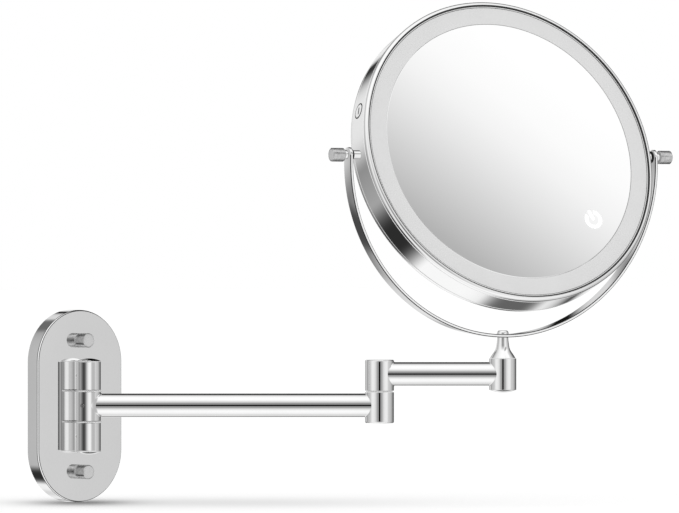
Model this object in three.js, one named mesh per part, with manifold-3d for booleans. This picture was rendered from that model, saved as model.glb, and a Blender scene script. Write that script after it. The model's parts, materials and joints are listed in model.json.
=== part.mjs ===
// Extendable shaving mirror: a wall plate, a folding two-part arm and a lit double-sided mirror in a yoke.
// Millimetres. The origin is the middle of the wall bracket's back, on the wall. The wall is the plane y = 0,
// the mirror stands out along -Y, and +Z is up. The arm is stored half swung out.
import * as THREE from "three";
import { mergeVertices } from "three/addons/utils/BufferGeometryUtils.js";
import Module from "manifold-3d";

const wasm = await Module();
wasm.setup();

// ---------- driving dimensions ----------

// clearances
const seat = 0.3; // between pieces that rest on each other
const bite = 1; // how far a cutting tool runs past the face it cuts

// pose at rest, in degrees
const armSwing = 50.5; // the arm, out from the wall's normal
const yokeHeading = -13.3; // the yoke, from the wall's normal
const mirrorTilt = 20.2; // the mirror, looking up

// wall plate and the bracket behind it
const plateWidth = 70;
const plateHeight = 128.4;
const plateDepth = 11.8;
const plateWall = 1.5;
const plateChamfer = 1.6;
const bracketWidth = 26;
const bracketInset = 10.2; // of the bracket's ends, from the plate's
const bracketThickness = 2.5;
const bracketScrewRadius = 2.6;
const bracketScrewSpacing = 44;

// studs and thumb nuts that hold the plate on
const studInset = 20.3; // of each stud's axis, from the plate's end
const studRadius = 2;
const studFootRadius = 4;
const studFootThickness = 1.2;
const studReach = 6; // of the stud, past the plate
const thumbNutRadius = 4.75;
const thumbNutLength = 9.2;

// vertical hinge on the plate
const kneeMargin = 0.25; // of the barrel's radius, over the tube's
const kneeGap = 1.05; // between the plate and the barrel
const middleKnuckleMargin = 4.9; // of the middle knuckle's height, over the tube's diameter
const endKnuckle = 19.4;
const hingeCapHeight = 2.4;
const hingeWasherThickness = 0.8;
const hingeWasherLip = 0.6; // of the washers, past the barrel
const pinRadius = 3;
const knuckleFootRadius = 4.5;
const knuckleScrewRadius = 1.5;
const knuckleScrewHeadRadius = 2.8;
const knuckleScrewHeadHeight = 2;
const setScrewRadius = 1.5;
const setScrewLength = 3.5;
const setScrewBearing = -120; // degrees round the barrel, from the arm

// tubes
const tubeRadius = 7.9;
const tubeWall = 1;
const lowerReach = 194; // hinge axis to elbow axis
const upperReach = 82.2; // elbow axis to swivel axis
const armHeight = 0.65; // lower tube's axis above the plate's middle
const spigotLength = 8; // of each barrel's stub, inside its tube

// elbow and end barrels
const elbowMargin = 1.7; // of the elbow's radius, over the tube's
const elbowHalfMargin = 5.3; // of each half's height, over the tube's diameter
const elbowRiseMargin = 3.7; // from the split up to the upper tube's underside
const elbowDropMargin = 1.4; // from the lower tube's top up to the split
const elbowWasherThickness = 0.5;
const elbowWasherInset = 0.2; // of its edge, from the barrel's
const elbowCapThickness = 1.2;
const barrelChamfer = 0.7;
const endMargin = 1.1; // of the end barrel's radius, over the tube's
const endBarrelMargin = 5; // of its height, over the tube's diameter
const endCapHeight = 2;
const pocketRadius = 6.6; // for nuts and bolt heads
const pocketDepth = 6;
const boltHeadHeight = 3.2;
const nutAcrossCorners = 11;
const nutHeight = 4;
const thinNutHeight = 2.8;
const threadPastNut = 0.4; // how far a thread stops short of its nut's far face
const plugDepth = 1.2; // of a flat cap, in the pocket's mouth
const springWasherRadius = 5;
const springWasherThickness = 0.8;

// swivel neck: its flared outline as radius at each height over the end barrel
const neckOutline = [
  [8.5, 0], [6.9, 2.5], [5.1, 5], [4.35, 7.2], [4, 9.7], [3.7, 12], [3.65, 13.7],
];
const neckHeight = 14;
const yokeScrewRadius = 1.5;
const yokeScrewDepth = 8;
const yokeScrewHeadRadius = 3.85;
const yokeScrewHeadHeight = 2.2;

// yoke
const yokeGap = 7.1; // between the strip and the mirror head
const yokeStraight = 5.2; // straight ends above the half circle
const yokeWidth = 10;
const yokeThickness = 2.1;
const yokeHoleRadius = 2.4;

// mirror head
const drumRadius = 106.5;
const drumThickness = 24.2;
const drumWall = 1.2;
const bezelDepth = 4;
const bezelRing = 4; // width of the ring seen from in front
const bezelLip = 1.2; // rounding of its outer corner
const bezelGrip = 0.6; // of the front bezel, over the light ring
const lightRingWidth = 12; // from the glass to the bezel
const glassThickness = 3;
const glassSetBack = 1.2; // of the glass, behind the bezel's front
const backGlassInset = 5.5; // of the magnifying glass's edge, from the band's outside
const backBezelGrip = 1.5; // of the back bezel, over the magnifying glass
const backGlassSag = 5; // depth of the magnifying glass's bowl
const ledBoardThickness = 1.2;
const ledBoardInset = 1.5; // of the board's inner edge, outside the glass's
const ledBoardWidth = 8;
const ledCount = 24;
const ledSize = [3, 2.8, 1];
const trayThickness = 1.6;
const trayClearance = 2; // between the tray and the bosses
const sunk = 0.2; // of a chip or lamp, into its board
const batterySize = [60, 38, 5];
const batteryPlace = [-25, 22];
const boardSize = [42, 22, 1.6];
const boardPlace = [30, -30];
const chipSize = [9, 9, 1.6];
const touchPlace = [54, -49]; // of the switch, right of and above the glass's middle
const touchRadius = 6;
const touchThickness = 1;
const portBearing = 17; // degrees above the knobs' axis
const portRecessRadius = 6;
const portSetBack = 1; // of the socket, inside the band
const portBody = [7.2, 9, 3.4]; // deep, long, wide
const portMouth = [4.8, 6.6, 1.6];

// knobs and what they clamp
const knobRadius = 4.5;
const knobLength = 9;
const knobNeckRadius = 3;
const knobNeckLength = 2.6;
const knobShankRadius = 2;
const spacerRadius = 3;
const tiltWasherRadius = 4;
const tiltWasherThickness = 0.7;
const bossRadius = 4.2;
const bossLength = 7;
const knobBreak = 0.4; // chamfer of the knobs
const nutBreak = 0.5; // chamfer of the thumb nuts

// how finely round pieces are cut
const ringSides = 64;
const barrelSides = 24;
const smallSides = 16;
const yokeSteps = 48;
const bowlSteps = 6;

// ---------- sizes and places that follow from them ----------

const tubeDiameter = 2 * tubeRadius;
const kneeRadius = tubeRadius + kneeMargin;
const middleKnuckle = tubeDiameter + middleKnuckleMargin;
const hingeWasherRadius = kneeRadius + hingeWasherLip;
const elbowRadius = tubeRadius + elbowMargin;
const elbowHalf = tubeDiameter + elbowHalfMargin;
const endRadius = tubeRadius + endMargin;
const endBarrelHeight = tubeDiameter + endBarrelMargin;
const bracketHeight = plateHeight - 2 * bracketInset;
const studSpacing = plateHeight - 2 * studInset;
const yokeInside = drumRadius + yokeGap;
const yokeRadius = yokeInside + yokeThickness;
const bezelInside = drumRadius - bezelRing;
const glassRadius = bezelInside - lightRingWidth;
const backGlassRadius = drumRadius - backGlassInset;
const lightRingRadius = bezelInside + bezelGrip;
const ledBoardInner = glassRadius + ledBoardInset;
const ledBoardOuter = ledBoardInner + ledBoardWidth;
const hingeOut = plateDepth + kneeGap + kneeRadius; // hinge axis in front of the wall
const hingeStraight = middleKnuckle / 2 + endKnuckle; // half the barrel's straight height
const split = seat + hingeWasherThickness + seat; // slot between two knuckles
const elbowSplit = armHeight + tubeRadius + elbowDropMargin;
const elbowBottom = elbowSplit - elbowHalf;
const elbowTop = elbowSplit + elbowHalf;
const upperHeight = elbowSplit + elbowRiseMargin + tubeRadius; // upper tube's axis
const endBottom = upperHeight - endBarrelHeight / 2;
const endTop = endBottom + endBarrelHeight;
const neckTop = endTop + neckHeight;
const knobHeight = neckTop + yokeRadius + yokeStraight;
const tubeBore = tubeRadius - tubeWall;
const spigotRadius = tubeBore - seat;
const bore = pinRadius + seat;
const halfDrum = drumThickness / 2;
const drumInside = drumRadius - drumWall;
const spacerStart = drumRadius + seat / 2;
const spacerEnd = yokeInside - seat - tiltWasherThickness - seat;

// ---------- solids ----------

// A closed geometry as a manifold solid, facing out.
function solid(geometry) {
  const bare = geometry.clone();
  bare.deleteAttribute("normal");
  bare.deleteAttribute("uv");
  const merged = mergeVertices(bare, 1e-4);
  const triVerts = new Uint32Array(merged.index.array);
  const vertProperties = merged.attributes.position.array;
  const made = new wasm.Manifold(new wasm.Mesh({ numProp: 3, vertProperties, triVerts }));
  if (made.volume() > 0) return made;
  for (let i = 0; i < triVerts.length; i += 3) {
    [triVerts[i + 1], triVerts[i + 2]] = [triVerts[i + 2], triVerts[i + 1]];
  }
  return new wasm.Manifold(new wasm.Mesh({ numProp: 3, vertProperties, triVerts }));
}

// A manifold solid back as a three.js geometry.
function geometryOf(made) {
  const mesh = made.getMesh();
  const geometry = new THREE.BufferGeometry();
  geometry.setAttribute("position", new THREE.BufferAttribute(mesh.vertProperties, 3));
  geometry.setIndex(new THREE.BufferAttribute(mesh.triVerts, 1));
  const faceted = geometry.toNonIndexed();
  faceted.computeVertexNormals();
  return faceted;
}

// A turned solid on the Z axis. The outline is [radius, height] points; both ends close on the axis.
function turned(outline, sides) {
  const points = outline.map(([radius, height]) => new THREE.Vector2(radius, height));
  return solid(new THREE.LatheGeometry(points, sides).rotateX(Math.PI / 2));
}

// A ring turned on the Z axis from a closed outline of [radius, height] points.
function turnedRing(outline, sides) {
  return turned([...outline, outline[0]], sides);
}

function rod(radius, low, high, sides = smallSides) {
  return turned([[0, low], [radius, low], [radius, high], [0, high]], sides);
}

function washer(inner, outer, low, high, sides = smallSides) {
  return turnedRing([[inner, low], [outer, low], [outer, high], [inner, high]], sides);
}

function chamferedRod(radius, low, high, chamfer, sides) {
  return turned(
    [[0, low], [radius - chamfer, low], [radius, low + chamfer], [radius, high - chamfer],
      [radius - chamfer, high], [0, high]],
    sides,
  );
}

// A domed cap: a short rim, then an arc that falls to the axis. up is 1 for a cap on top, -1 for one below.
function dome(radius, from, height, up, sides) {
  const rim = 0.25 * height;
  const outline = [[0, from], [radius, from]];
  for (const degrees of [0, 20, 42, 66]) {
    const turn = THREE.MathUtils.degToRad(degrees);
    outline.push([radius * Math.cos(turn), from + up * (rim + (height - rim) * Math.sin(turn))]);
  }
  outline.push([0, from + up * height]);
  return turned(outline, sides);
}

function block(sizeX, sizeY, sizeZ, centre) {
  return solid(new THREE.BoxGeometry(sizeX, sizeY, sizeZ).translate(...centre));
}

// A solid drawn on the Z axis, laid along +X.
function alongX(made) {
  return made.rotate([0, 90, 0]);
}

// The same, along +X for facing 1 and along -X for facing -1.
function alongKnobs(made, facing) {
  return alongX(made).rotate([0, 0, facing > 0 ? 0 : 180]);
}

// A solid drawn on the Z axis, laid along -Y, so that its height grows away from the wall.
function awayFromWall(made) {
  return made.rotate([90, 0, 0]);
}

// ---------- meshes and groups ----------

const finishes = {
  chrome: { color: 0xd8dadc, roughness: 0.08, metalness: 1 },
  satin_steel: { color: 0xb4b7ba, roughness: 0.35, metalness: 1 },
  zinc: { color: 0xa4a8ab, roughness: 0.45, metalness: 1 },
  nylon: { color: 0xd5d6d4, roughness: 0.5, metalness: 0 },
  mirror: { color: 0xe6e9ea, roughness: 0.02, metalness: 1 },
  diffuser: { color: 0xdedfdf, roughness: 0.6, metalness: 0 },
  white_plastic: { color: 0xe2e2df, roughness: 0.5, metalness: 0 },
  board: { color: 0x1f6b3d, roughness: 0.45, metalness: 0 },
  black_plastic: { color: 0x222324, roughness: 0.5, metalness: 0 },
  foil: { color: 0x9fa3a6, roughness: 0.3, metalness: 0.8 },
};

function addPiece(group, name, finish, made, position = [0, 0, 0]) {
  const mesh = new THREE.Mesh(geometryOf(made), new THREE.MeshStandardMaterial(finishes[finish]));
  mesh.name = name;
  mesh.position.set(...position);
  group.add(mesh);
}

const part = new THREE.Group();

const lowerArm = new THREE.Group();
lowerArm.position.set(0, -hingeOut, 0);
lowerArm.rotation.z = THREE.MathUtils.degToRad(armSwing - 90);
part.add(lowerArm);

const upperArm = new THREE.Group();
upperArm.position.set(lowerReach, 0, 0);
lowerArm.add(upperArm);

const yoke = new THREE.Group();
yoke.position.set(upperReach, 0, 0);
yoke.rotation.z = THREE.MathUtils.degToRad(yokeHeading + 90 - armSwing);
upperArm.add(yoke);

const head = new THREE.Group();
head.position.set(0, 0, knobHeight);
head.rotation.x = THREE.MathUtils.degToRad(-mirrorTilt);
yoke.add(head);

// ---------- wall plate ----------

const ends = { upper: 1, lower: -1 };

// A slab with half-round ends in the XZ plane, from the wall out.
function stadiumSlab(width, height, depth, chamfer = 0) {
  const radius = width / 2 - chamfer;
  const straight = (height - width) / 2;
  const shape = new THREE.Shape();
  shape.absarc(0, straight, radius, 0, Math.PI, false);
  shape.absarc(0, -straight, radius, Math.PI, 2 * Math.PI, false);
  shape.closePath();
  const slab = new THREE.ExtrudeGeometry(shape, {
    depth,
    curveSegments: smallSides,
    bevelEnabled: chamfer > 0,
    bevelSize: chamfer,
    bevelThickness: chamfer,
    bevelSegments: 1,
  });
  return awayFromWall(solid(slab));
}

function wallBracket() {
  let bar = stadiumSlab(bracketWidth, bracketHeight, bracketThickness);
  const drill = awayFromWall(rod(bracketScrewRadius, -bite, bracketThickness + bite));
  for (const side of Object.values(ends)) {
    bar = bar.subtract(drill.translate([0, 0, (side * bracketScrewSpacing) / 2]));
  }
  return bar;
}

const studFoot = bracketThickness + seat;
const studEnd = plateDepth + studReach;

function bracketStud() {
  return awayFromWall(turned(
    [[0, studFoot], [studFootRadius, studFoot], [studFootRadius, studFoot + studFootThickness],
      [studRadius, studFoot + studFootThickness], [studRadius, studEnd], [0, studEnd]],
    smallSides,
  ));
}

const knuckleMiddle = middleKnuckle / 2 + endKnuckle / 2; // height of an end knuckle's middle

function basePlate() {
  const reach = plateDepth - plateChamfer;
  let plate = stadiumSlab(plateWidth, plateHeight, reach, plateChamfer);
  plate = plate.subtract(block(2 * plateWidth, 2 * plateChamfer, 2 * plateHeight, [0, plateChamfer, 0]));
  const hollowDepth = plateDepth - plateWall;
  const hollow = stadiumSlab(plateWidth - 2 * plateWall, plateHeight - 2 * plateWall, hollowDepth + bite);
  plate = plate.subtract(hollow.translate([0, bite, 0]));
  const studHole = awayFromWall(rod(studRadius + seat, 0, plateDepth + bite));
  const screwHole = awayFromWall(rod(knuckleScrewRadius + seat, 0, plateDepth + bite));
  for (const side of Object.values(ends)) {
    plate = plate.subtract(studHole.translate([0, 0, (side * studSpacing) / 2]));
    plate = plate.subtract(screwHole.translate([0, 0, side * knuckleMiddle]));
  }
  return plate;
}

// An end knuckle stands on a short foot, which a screw from inside the plate pulls against it.
const knuckleScrewTip = hingeOut - bore - 1;

function baseKnuckle(side) {
  const near = side * (middleKnuckle / 2 + split / 2);
  const far = side * hingeStraight;
  const barrel = rod(kneeRadius, Math.min(near, far), Math.max(near, far), barrelSides);
  const foot = awayFromWall(rod(knuckleFootRadius, plateDepth + seat, hingeOut))
    .translate([0, hingeOut, side * knuckleMiddle]);
  const pinHole = rod(bore, -hingeStraight - bite, hingeStraight + bite);
  const screwHole = awayFromWall(rod(knuckleScrewRadius + seat, plateDepth, knuckleScrewTip + seat))
    .translate([0, hingeOut, side * knuckleMiddle]);
  return barrel.add(foot).subtract(pinHole).subtract(screwHole);
}

function knuckleScrew() {
  const head = plateDepth - plateWall - seat;
  return awayFromWall(turned(
    [[0, head - knuckleScrewHeadHeight], [knuckleScrewHeadRadius, head - knuckleScrewHeadHeight],
      [knuckleScrewHeadRadius, head], [knuckleScrewRadius, head],
      [knuckleScrewRadius, knuckleScrewTip], [0, knuckleScrewTip]],
    smallSides,
  ));
}

function thumbNut() {
  const near = plateDepth + seat;
  const blind = awayFromWall(rod(studRadius + seat, near - bite, studEnd + seat));
  return awayFromWall(chamferedRod(thumbNutRadius, near, near + thumbNutLength, nutBreak, smallSides))
    .subtract(blind);
}

function hingeCap(side) {
  return dome(kneeRadius, side * (hingeStraight + seat), hingeCapHeight - seat, side, barrelSides);
}

addPiece(part, "wall_bracket", "zinc", wallBracket());
addPiece(part, "base_plate", "chrome", basePlate());
for (const [end, side] of Object.entries(ends)) {
  const studPlace = [0, 0, (side * studSpacing) / 2];
  addPiece(part, `bracket_stud_${end}`, "zinc", bracketStud(), studPlace);
  addPiece(part, `thumb_nut_${end}`, "chrome", thumbNut(), studPlace);
  addPiece(part, `base_knuckle_${end}`, "chrome", baseKnuckle(side), [0, -hingeOut, 0]);
  addPiece(part, `knuckle_screw_${end}`, "zinc", knuckleScrew(), [0, 0, side * knuckleMiddle]);
  const washerMiddle = (side * middleKnuckle) / 2;
  addPiece(part, `hinge_washer_${end}`, "nylon",
    washer(bore, hingeWasherRadius, -hingeWasherThickness / 2, hingeWasherThickness / 2, barrelSides),
    [0, -hingeOut, washerMiddle]);
  addPiece(part, `hinge_cap_${end}`, "chrome", hingeCap(side), [0, -hingeOut, 0]);
}
addPiece(part, "hinge_pin", "satin_steel", rod(pinRadius, -hingeStraight, hingeStraight), [0, -hingeOut, 0]);

// ---------- lower arm ----------

// A stub on a barrel that goes into its tube. facing is 1 along +X and -1 along -X.
function spigot(barrelRadius, height, facing) {
  return alongKnobs(rod(spigotRadius, 0, barrelRadius + spigotLength), facing).translate([0, 0, height]);
}

// A tube between two upright barrels, its ends cut to fit round them.
function copedTube(length, nearRadius, farRadius) {
  const ring = alongX(washer(tubeBore, tubeRadius, 0, length, barrelSides));
  return ring
    .subtract(rod(nearRadius + seat, -tubeDiameter, tubeDiameter, barrelSides))
    .subtract(rod(farRadius + seat, -tubeDiameter, tubeDiameter, barrelSides).translate([length, 0, 0]));
}

function armKnuckle() {
  const half = middleKnuckle / 2 - split / 2;
  const screwHole = alongX(rod(setScrewRadius + seat, bore - bite, kneeRadius + bite))
    .rotate([0, 0, setScrewBearing])
    .translate([0, 0, armHeight]);
  return rod(kneeRadius, -half, half, barrelSides)
    .add(spigot(kneeRadius, armHeight, 1))
    .subtract(rod(bore, -middleKnuckle, middleKnuckle))
    .subtract(screwHole);
}

function setScrew() {
  return alongX(rod(setScrewRadius, kneeRadius - seat - setScrewLength, kneeRadius - seat))
    .rotate([0, 0, setScrewBearing]);
}

// A barrel half with a bore for the pin and a pocket for a nut or a bolt head at one end.
function pocketBarrel(radius, low, high, pocketOnTop) {
  const pocket = pocketOnTop
    ? rod(pocketRadius, high - pocketDepth, high + bite)
    : rod(pocketRadius, low - bite, low + pocketDepth);
  const hollow = rod(bore, low - bite, high + bite).add(pocket);
  return { shell: rod(radius, low, high, barrelSides), hollow };
}

function elbowBarrelLower() {
  const low = elbowBottom + elbowCapThickness;
  const high = elbowSplit - elbowWasherThickness / 2 - seat;
  const { shell, hollow } = pocketBarrel(elbowRadius, low, high, false);
  return shell.add(spigot(elbowRadius, armHeight, -1)).subtract(hollow);
}

// A flat cap with a plug that fills the mouth of a barrel's pocket.
function plugCap(radius, outerFace, thickness, up) {
  const inner = outerFace - up * (thickness - seat);
  const outline = [[0, inner - up * plugDepth], [pocketRadius - seat, inner - up * plugDepth],
    [pocketRadius - seat, inner], [radius, inner], [radius, outerFace - up * barrelChamfer],
    [radius - barrelChamfer, outerFace], [0, outerFace]];
  return turned(outline, barrelSides);
}

// The elbow's bolt: head in the lower pocket, shank through both halves, nut in the upper pocket.
const boltHeadTop = elbowBottom + elbowCapThickness + pocketDepth - seat;
const elbowNutLow = elbowTop - elbowCapThickness - pocketDepth + seat + springWasherThickness + seat;
const elbowBoltTop = elbowNutLow + thinNutHeight - threadPastNut;

function elbowBolt() {
  const headRadius = pocketRadius - 2 * seat;
  return turned(
    [[0, boltHeadTop - boltHeadHeight], [headRadius, boltHeadTop - boltHeadHeight],
      [headRadius, boltHeadTop], [pinRadius, boltHeadTop], [pinRadius, elbowBoltTop],
      [0, elbowBoltTop]],
    smallSides,
  );
}

function hexNut(low, height) {
  const hole = rod(bore, low - bite, low + height + bite);
  return rod(nutAcrossCorners / 2, low, low + height, 6).subtract(hole);
}

addPiece(lowerArm, "arm_knuckle", "chrome", armKnuckle());
addPiece(lowerArm, "arm_set_screw", "satin_steel", setScrew(), [0, 0, armHeight]);
addPiece(lowerArm, "lower_arm_tube", "chrome", copedTube(lowerReach, kneeRadius, elbowRadius),
  [0, 0, armHeight]);
addPiece(lowerArm, "elbow_barrel_lower", "chrome", elbowBarrelLower(), [lowerReach, 0, 0]);
addPiece(lowerArm, "elbow_cap_lower", "chrome", plugCap(elbowRadius, elbowBottom, elbowCapThickness, -1),
  [lowerReach, 0, 0]);
addPiece(lowerArm, "elbow_bolt", "satin_steel", elbowBolt(), [lowerReach, 0, 0]);
addPiece(lowerArm, "elbow_spring_washer", "satin_steel",
  washer(bore, springWasherRadius, elbowNutLow - seat - springWasherThickness, elbowNutLow - seat),
  [lowerReach, 0, 0]);
addPiece(lowerArm, "elbow_nut", "satin_steel", hexNut(elbowNutLow, thinNutHeight), [lowerReach, 0, 0]);

// ---------- upper arm ----------

function elbowBarrelUpper() {
  const low = elbowSplit + elbowWasherThickness / 2 + seat;
  const high = elbowTop - elbowCapThickness;
  const { shell, hollow } = pocketBarrel(elbowRadius, low, high, true);
  return shell.add(spigot(elbowRadius, upperHeight, 1)).subtract(hollow);
}

function endBarrel() {
  const { shell, hollow } = pocketBarrel(endRadius, endBottom, endTop, false);
  return shell.add(spigot(endRadius, upperHeight, -1)).subtract(hollow);
}

addPiece(upperArm, "elbow_washer", "nylon",
  washer(bore, elbowRadius - elbowWasherInset, -elbowWasherThickness / 2, elbowWasherThickness / 2, barrelSides),
  [0, 0, elbowSplit]);
addPiece(upperArm, "elbow_barrel_upper", "chrome", elbowBarrelUpper());
addPiece(upperArm, "elbow_cap_upper", "chrome", plugCap(elbowRadius, elbowTop, elbowCapThickness, 1));
addPiece(upperArm, "upper_arm_tube", "chrome", copedTube(upperReach, elbowRadius, endRadius),
  [0, 0, upperHeight]);
addPiece(upperArm, "end_barrel", "chrome", endBarrel(), [upperReach, 0, 0]);
addPiece(upperArm, "end_cap", "chrome",
  dome(endRadius, endBottom - seat, endCapHeight - seat, -1, barrelSides), [upperReach, 0, 0]);

// ---------- swivel and yoke ----------

const swivelNutTop = endBottom + pocketDepth - seat - springWasherThickness - seat;
const swivelNutLow = swivelNutTop - nutHeight;
const spindleEnd = swivelNutLow + threadPastNut;

function swivelNeck() {
  const outline = [[0, spindleEnd], [pinRadius, spindleEnd], [pinRadius, endTop + seat]];
  for (const [radius, height] of neckOutline) {
    outline.push([radius, endTop + seat + height]);
  }
  outline.push([0, endTop + seat + neckOutline.at(-1)[1]]);
  const threadHole = rod(yokeScrewRadius + seat, neckTop - yokeScrewDepth, neckTop + bite);
  return turned(outline, barrelSides).subtract(threadHole);
}

// The strip, bent into a half circle with short straight ends that are rounded at their tips.
function halfCircle(radius) {
  const points = [];
  for (let step = 0; step <= yokeSteps; step += 1) {
    const turn = Math.PI + (Math.PI * step) / yokeSteps;
    points.push(new THREE.Vector2(radius * Math.cos(turn), radius * Math.sin(turn)));
  }
  return points;
}

function bentStrip() {
  const tip = yokeStraight + yokeWidth / 2;
  const corner = (x) => new THREE.Vector2(x, tip);
  const outline = [corner(-yokeRadius), ...halfCircle(yokeRadius), corner(yokeRadius),
    corner(yokeInside), ...halfCircle(yokeInside).reverse(), corner(-yokeInside)];
  const bent = new THREE.ExtrudeGeometry(new THREE.Shape(outline), { depth: yokeWidth, bevelEnabled: false });
  return awayFromWall(solid(bent.translate(0, 0, -yokeWidth / 2)));
}

// Along the knobs' axis, right across the yoke.
function crossRod(radius) {
  return alongX(rod(radius, -yokeRadius - bite, yokeRadius + bite)).translate([0, 0, yokeStraight]);
}

// What lies above the knobs' axis is kept only inside a cylinder about it, which rounds the tips.
function yokeStrip() {
  const aboveKnobs = [0, 0, yokeStraight + yokeWidth / 2];
  const crown = block(2 * yokeRadius + bite, yokeWidth + bite, yokeWidth, aboveKnobs)
    .subtract(crossRod(yokeWidth / 2));
  return bentStrip()
    .subtract(crown)
    .subtract(crossRod(yokeHoleRadius))
    .subtract(rod(yokeScrewRadius + seat, -yokeRadius - bite, -yokeInside + bite));
}

function yokeScrew() {
  const under = neckTop + yokeThickness + seat;
  const tip = neckTop - yokeScrewDepth + 1;
  return turned(
    [[0, tip], [yokeScrewRadius, tip], [yokeScrewRadius, under], [yokeScrewHeadRadius, under],
      [yokeScrewHeadRadius, under + 0.6 * yokeScrewHeadHeight],
      [0.7 * yokeScrewHeadRadius, under + yokeScrewHeadHeight], [0, under + yokeScrewHeadHeight]],
    smallSides,
  );
}

addPiece(yoke, "swivel_neck", "chrome", swivelNeck());
addPiece(yoke, "swivel_washer", "satin_steel",
  washer(bore, springWasherRadius, swivelNutTop + seat, swivelNutTop + seat + springWasherThickness));
addPiece(yoke, "swivel_nut", "satin_steel", hexNut(swivelNutLow, nutHeight));
addPiece(yoke, "yoke_strip", "chrome", yokeStrip(), [0, 0, knobHeight - yokeStraight]);
addPiece(yoke, "yoke_screw", "satin_steel", yokeScrew());

// ---------- mirror head ----------

// Its pieces are turned on the Z axis with the front at +Z, then faced forwards.
const facings = { right: 1, left: -1 };
const glassFront = halfDrum - glassSetBack;
const glassBack = glassFront - glassThickness;
const backGlassBack = glassSetBack - halfDrum;
const trayFront = glassBack - seat - ledBoardThickness - ledSize[2] - 2 * seat;
const trayBack = trayFront - trayThickness;

// A hole through the band on the knobs' axis, on the side that facing gives.
function sideDrill(radius, facing) {
  return alongKnobs(rod(radius, drumInside - bossLength - 2 * bite, drumRadius + bite), facing);
}

// The port sits on the band, above the left knob.
function atPort(made) {
  return alongX(made).rotate([0, 0, 180 - portBearing]);
}

function drumBand() {
  const reach = halfDrum - bezelDepth - seat;
  const portSeat = drumRadius - Math.sqrt(drumRadius ** 2 - portRecessRadius ** 2);
  let band = washer(drumInside, drumRadius, -reach, reach, ringSides);
  for (const facing of Object.values(facings)) {
    band = band.subtract(sideDrill(knobShankRadius + seat, facing));
  }
  return band.subtract(atPort(rod(portRecessRadius, drumInside - portSeat - bite, drumRadius + bite)));
}

// A bezel closes the band: a rounded lip outside and a flange that holds the glass.
function bezel(inside, seatRadius) {
  const low = halfDrum - bezelDepth;
  const rounding = 0.35 * bezelLip;
  const flange = glassFront + seat;
  return turnedRing(
    [[seatRadius + seat, low], [drumRadius, low], [drumRadius, halfDrum - bezelLip],
      [drumRadius - rounding, halfDrum - rounding], [drumRadius - bezelLip, halfDrum],
      [inside, halfDrum], [inside, flange], [seatRadius + seat, flange]],
    ringSides,
  );
}

function diffuserRing() {
  return washer(glassRadius + seat, lightRingRadius, glassBack, glassFront, ringSides);
}

function magnifyingGlass() {
  const front = backGlassBack + glassThickness;
  const groundEdge = backGlassRadius - 2;
  const outline = [[0, front + backGlassSag], [backGlassRadius * 0.5, front + backGlassSag * 0.75],
    [backGlassRadius, front], [backGlassRadius, backGlassBack]];
  for (let step = bowlSteps - 1; step >= 0; step -= 1) {
    const share = step / bowlSteps;
    outline.push([groundEdge * share, backGlassBack + backGlassSag * (1 - share ** 2)]);
  }
  return turned(outline, ringSides);
}

function ledBoard() {
  const top = glassBack - seat - ledSize[2];
  let board = washer(ledBoardInner, ledBoardOuter, top - ledBoardThickness, top, ringSides);
  const middle = (ledBoardInner + ledBoardOuter) / 2;
  for (let place = 0; place < ledCount; place += 1) {
    const led = block(ledSize[0], ledSize[1], ledSize[2] + sunk, [middle, 0, top + (ledSize[2] - sunk) / 2]);
    board = board.add(led.rotate([0, 0, (360 * (place + 0.5)) / ledCount]));
  }
  return board;
}

// The tray carries the glass and the electronics, and clears the bosses.
function innerTray() {
  return rod(drumInside - bossLength - trayClearance, trayBack, trayFront, ringSides);
}

function controlBoard() {
  const [sizeX, sizeY, sizeZ] = boardSize;
  const chip = block(chipSize[0], chipSize[1], chipSize[2] + sunk, [0, 0, -(sizeZ + chipSize[2] - sunk) / 2]);
  return block(sizeX, sizeY, sizeZ, [0, 0, 0]).add(chip);
}

function chargePort() {
  const outer = drumInside - portSetBack;
  const mouthMiddle = outer + (bite - portMouth[0]) / 2;
  const body = block(portBody[2], portBody[1], portBody[0], [0, 0, outer - portBody[0] / 2]);
  const mouth = block(portMouth[2], portMouth[1], portMouth[0] + bite, [0, 0, mouthMiddle]);
  return atPort(body.subtract(mouth));
}

function pivotBoss(facing) {
  const outer = Math.sqrt(drumInside ** 2 - bossRadius ** 2) - seat;
  return alongKnobs(rod(bossRadius, outer - bossLength, outer), facing)
    .subtract(sideDrill(knobShankRadius + seat, facing));
}

function knob(facing) {
  const shankTip = drumInside - bossLength + 1;
  const neckStart = yokeRadius + seat;
  const headStart = neckStart + knobNeckLength;
  const headEnd = headStart + knobLength;
  return alongKnobs(turned(
    [[0, shankTip], [knobShankRadius, shankTip], [knobShankRadius, neckStart], [knobNeckRadius, neckStart],
      [knobNeckRadius, headStart], [knobRadius - knobBreak, headStart], [knobRadius, headStart + knobBreak],
      [knobRadius, headEnd - knobBreak], [knobRadius - knobBreak, headEnd], [0, headEnd]],
    smallSides,
  ), facing);
}

const faced = new THREE.Group();
faced.rotation.x = Math.PI / 2;
head.add(faced);

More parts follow.
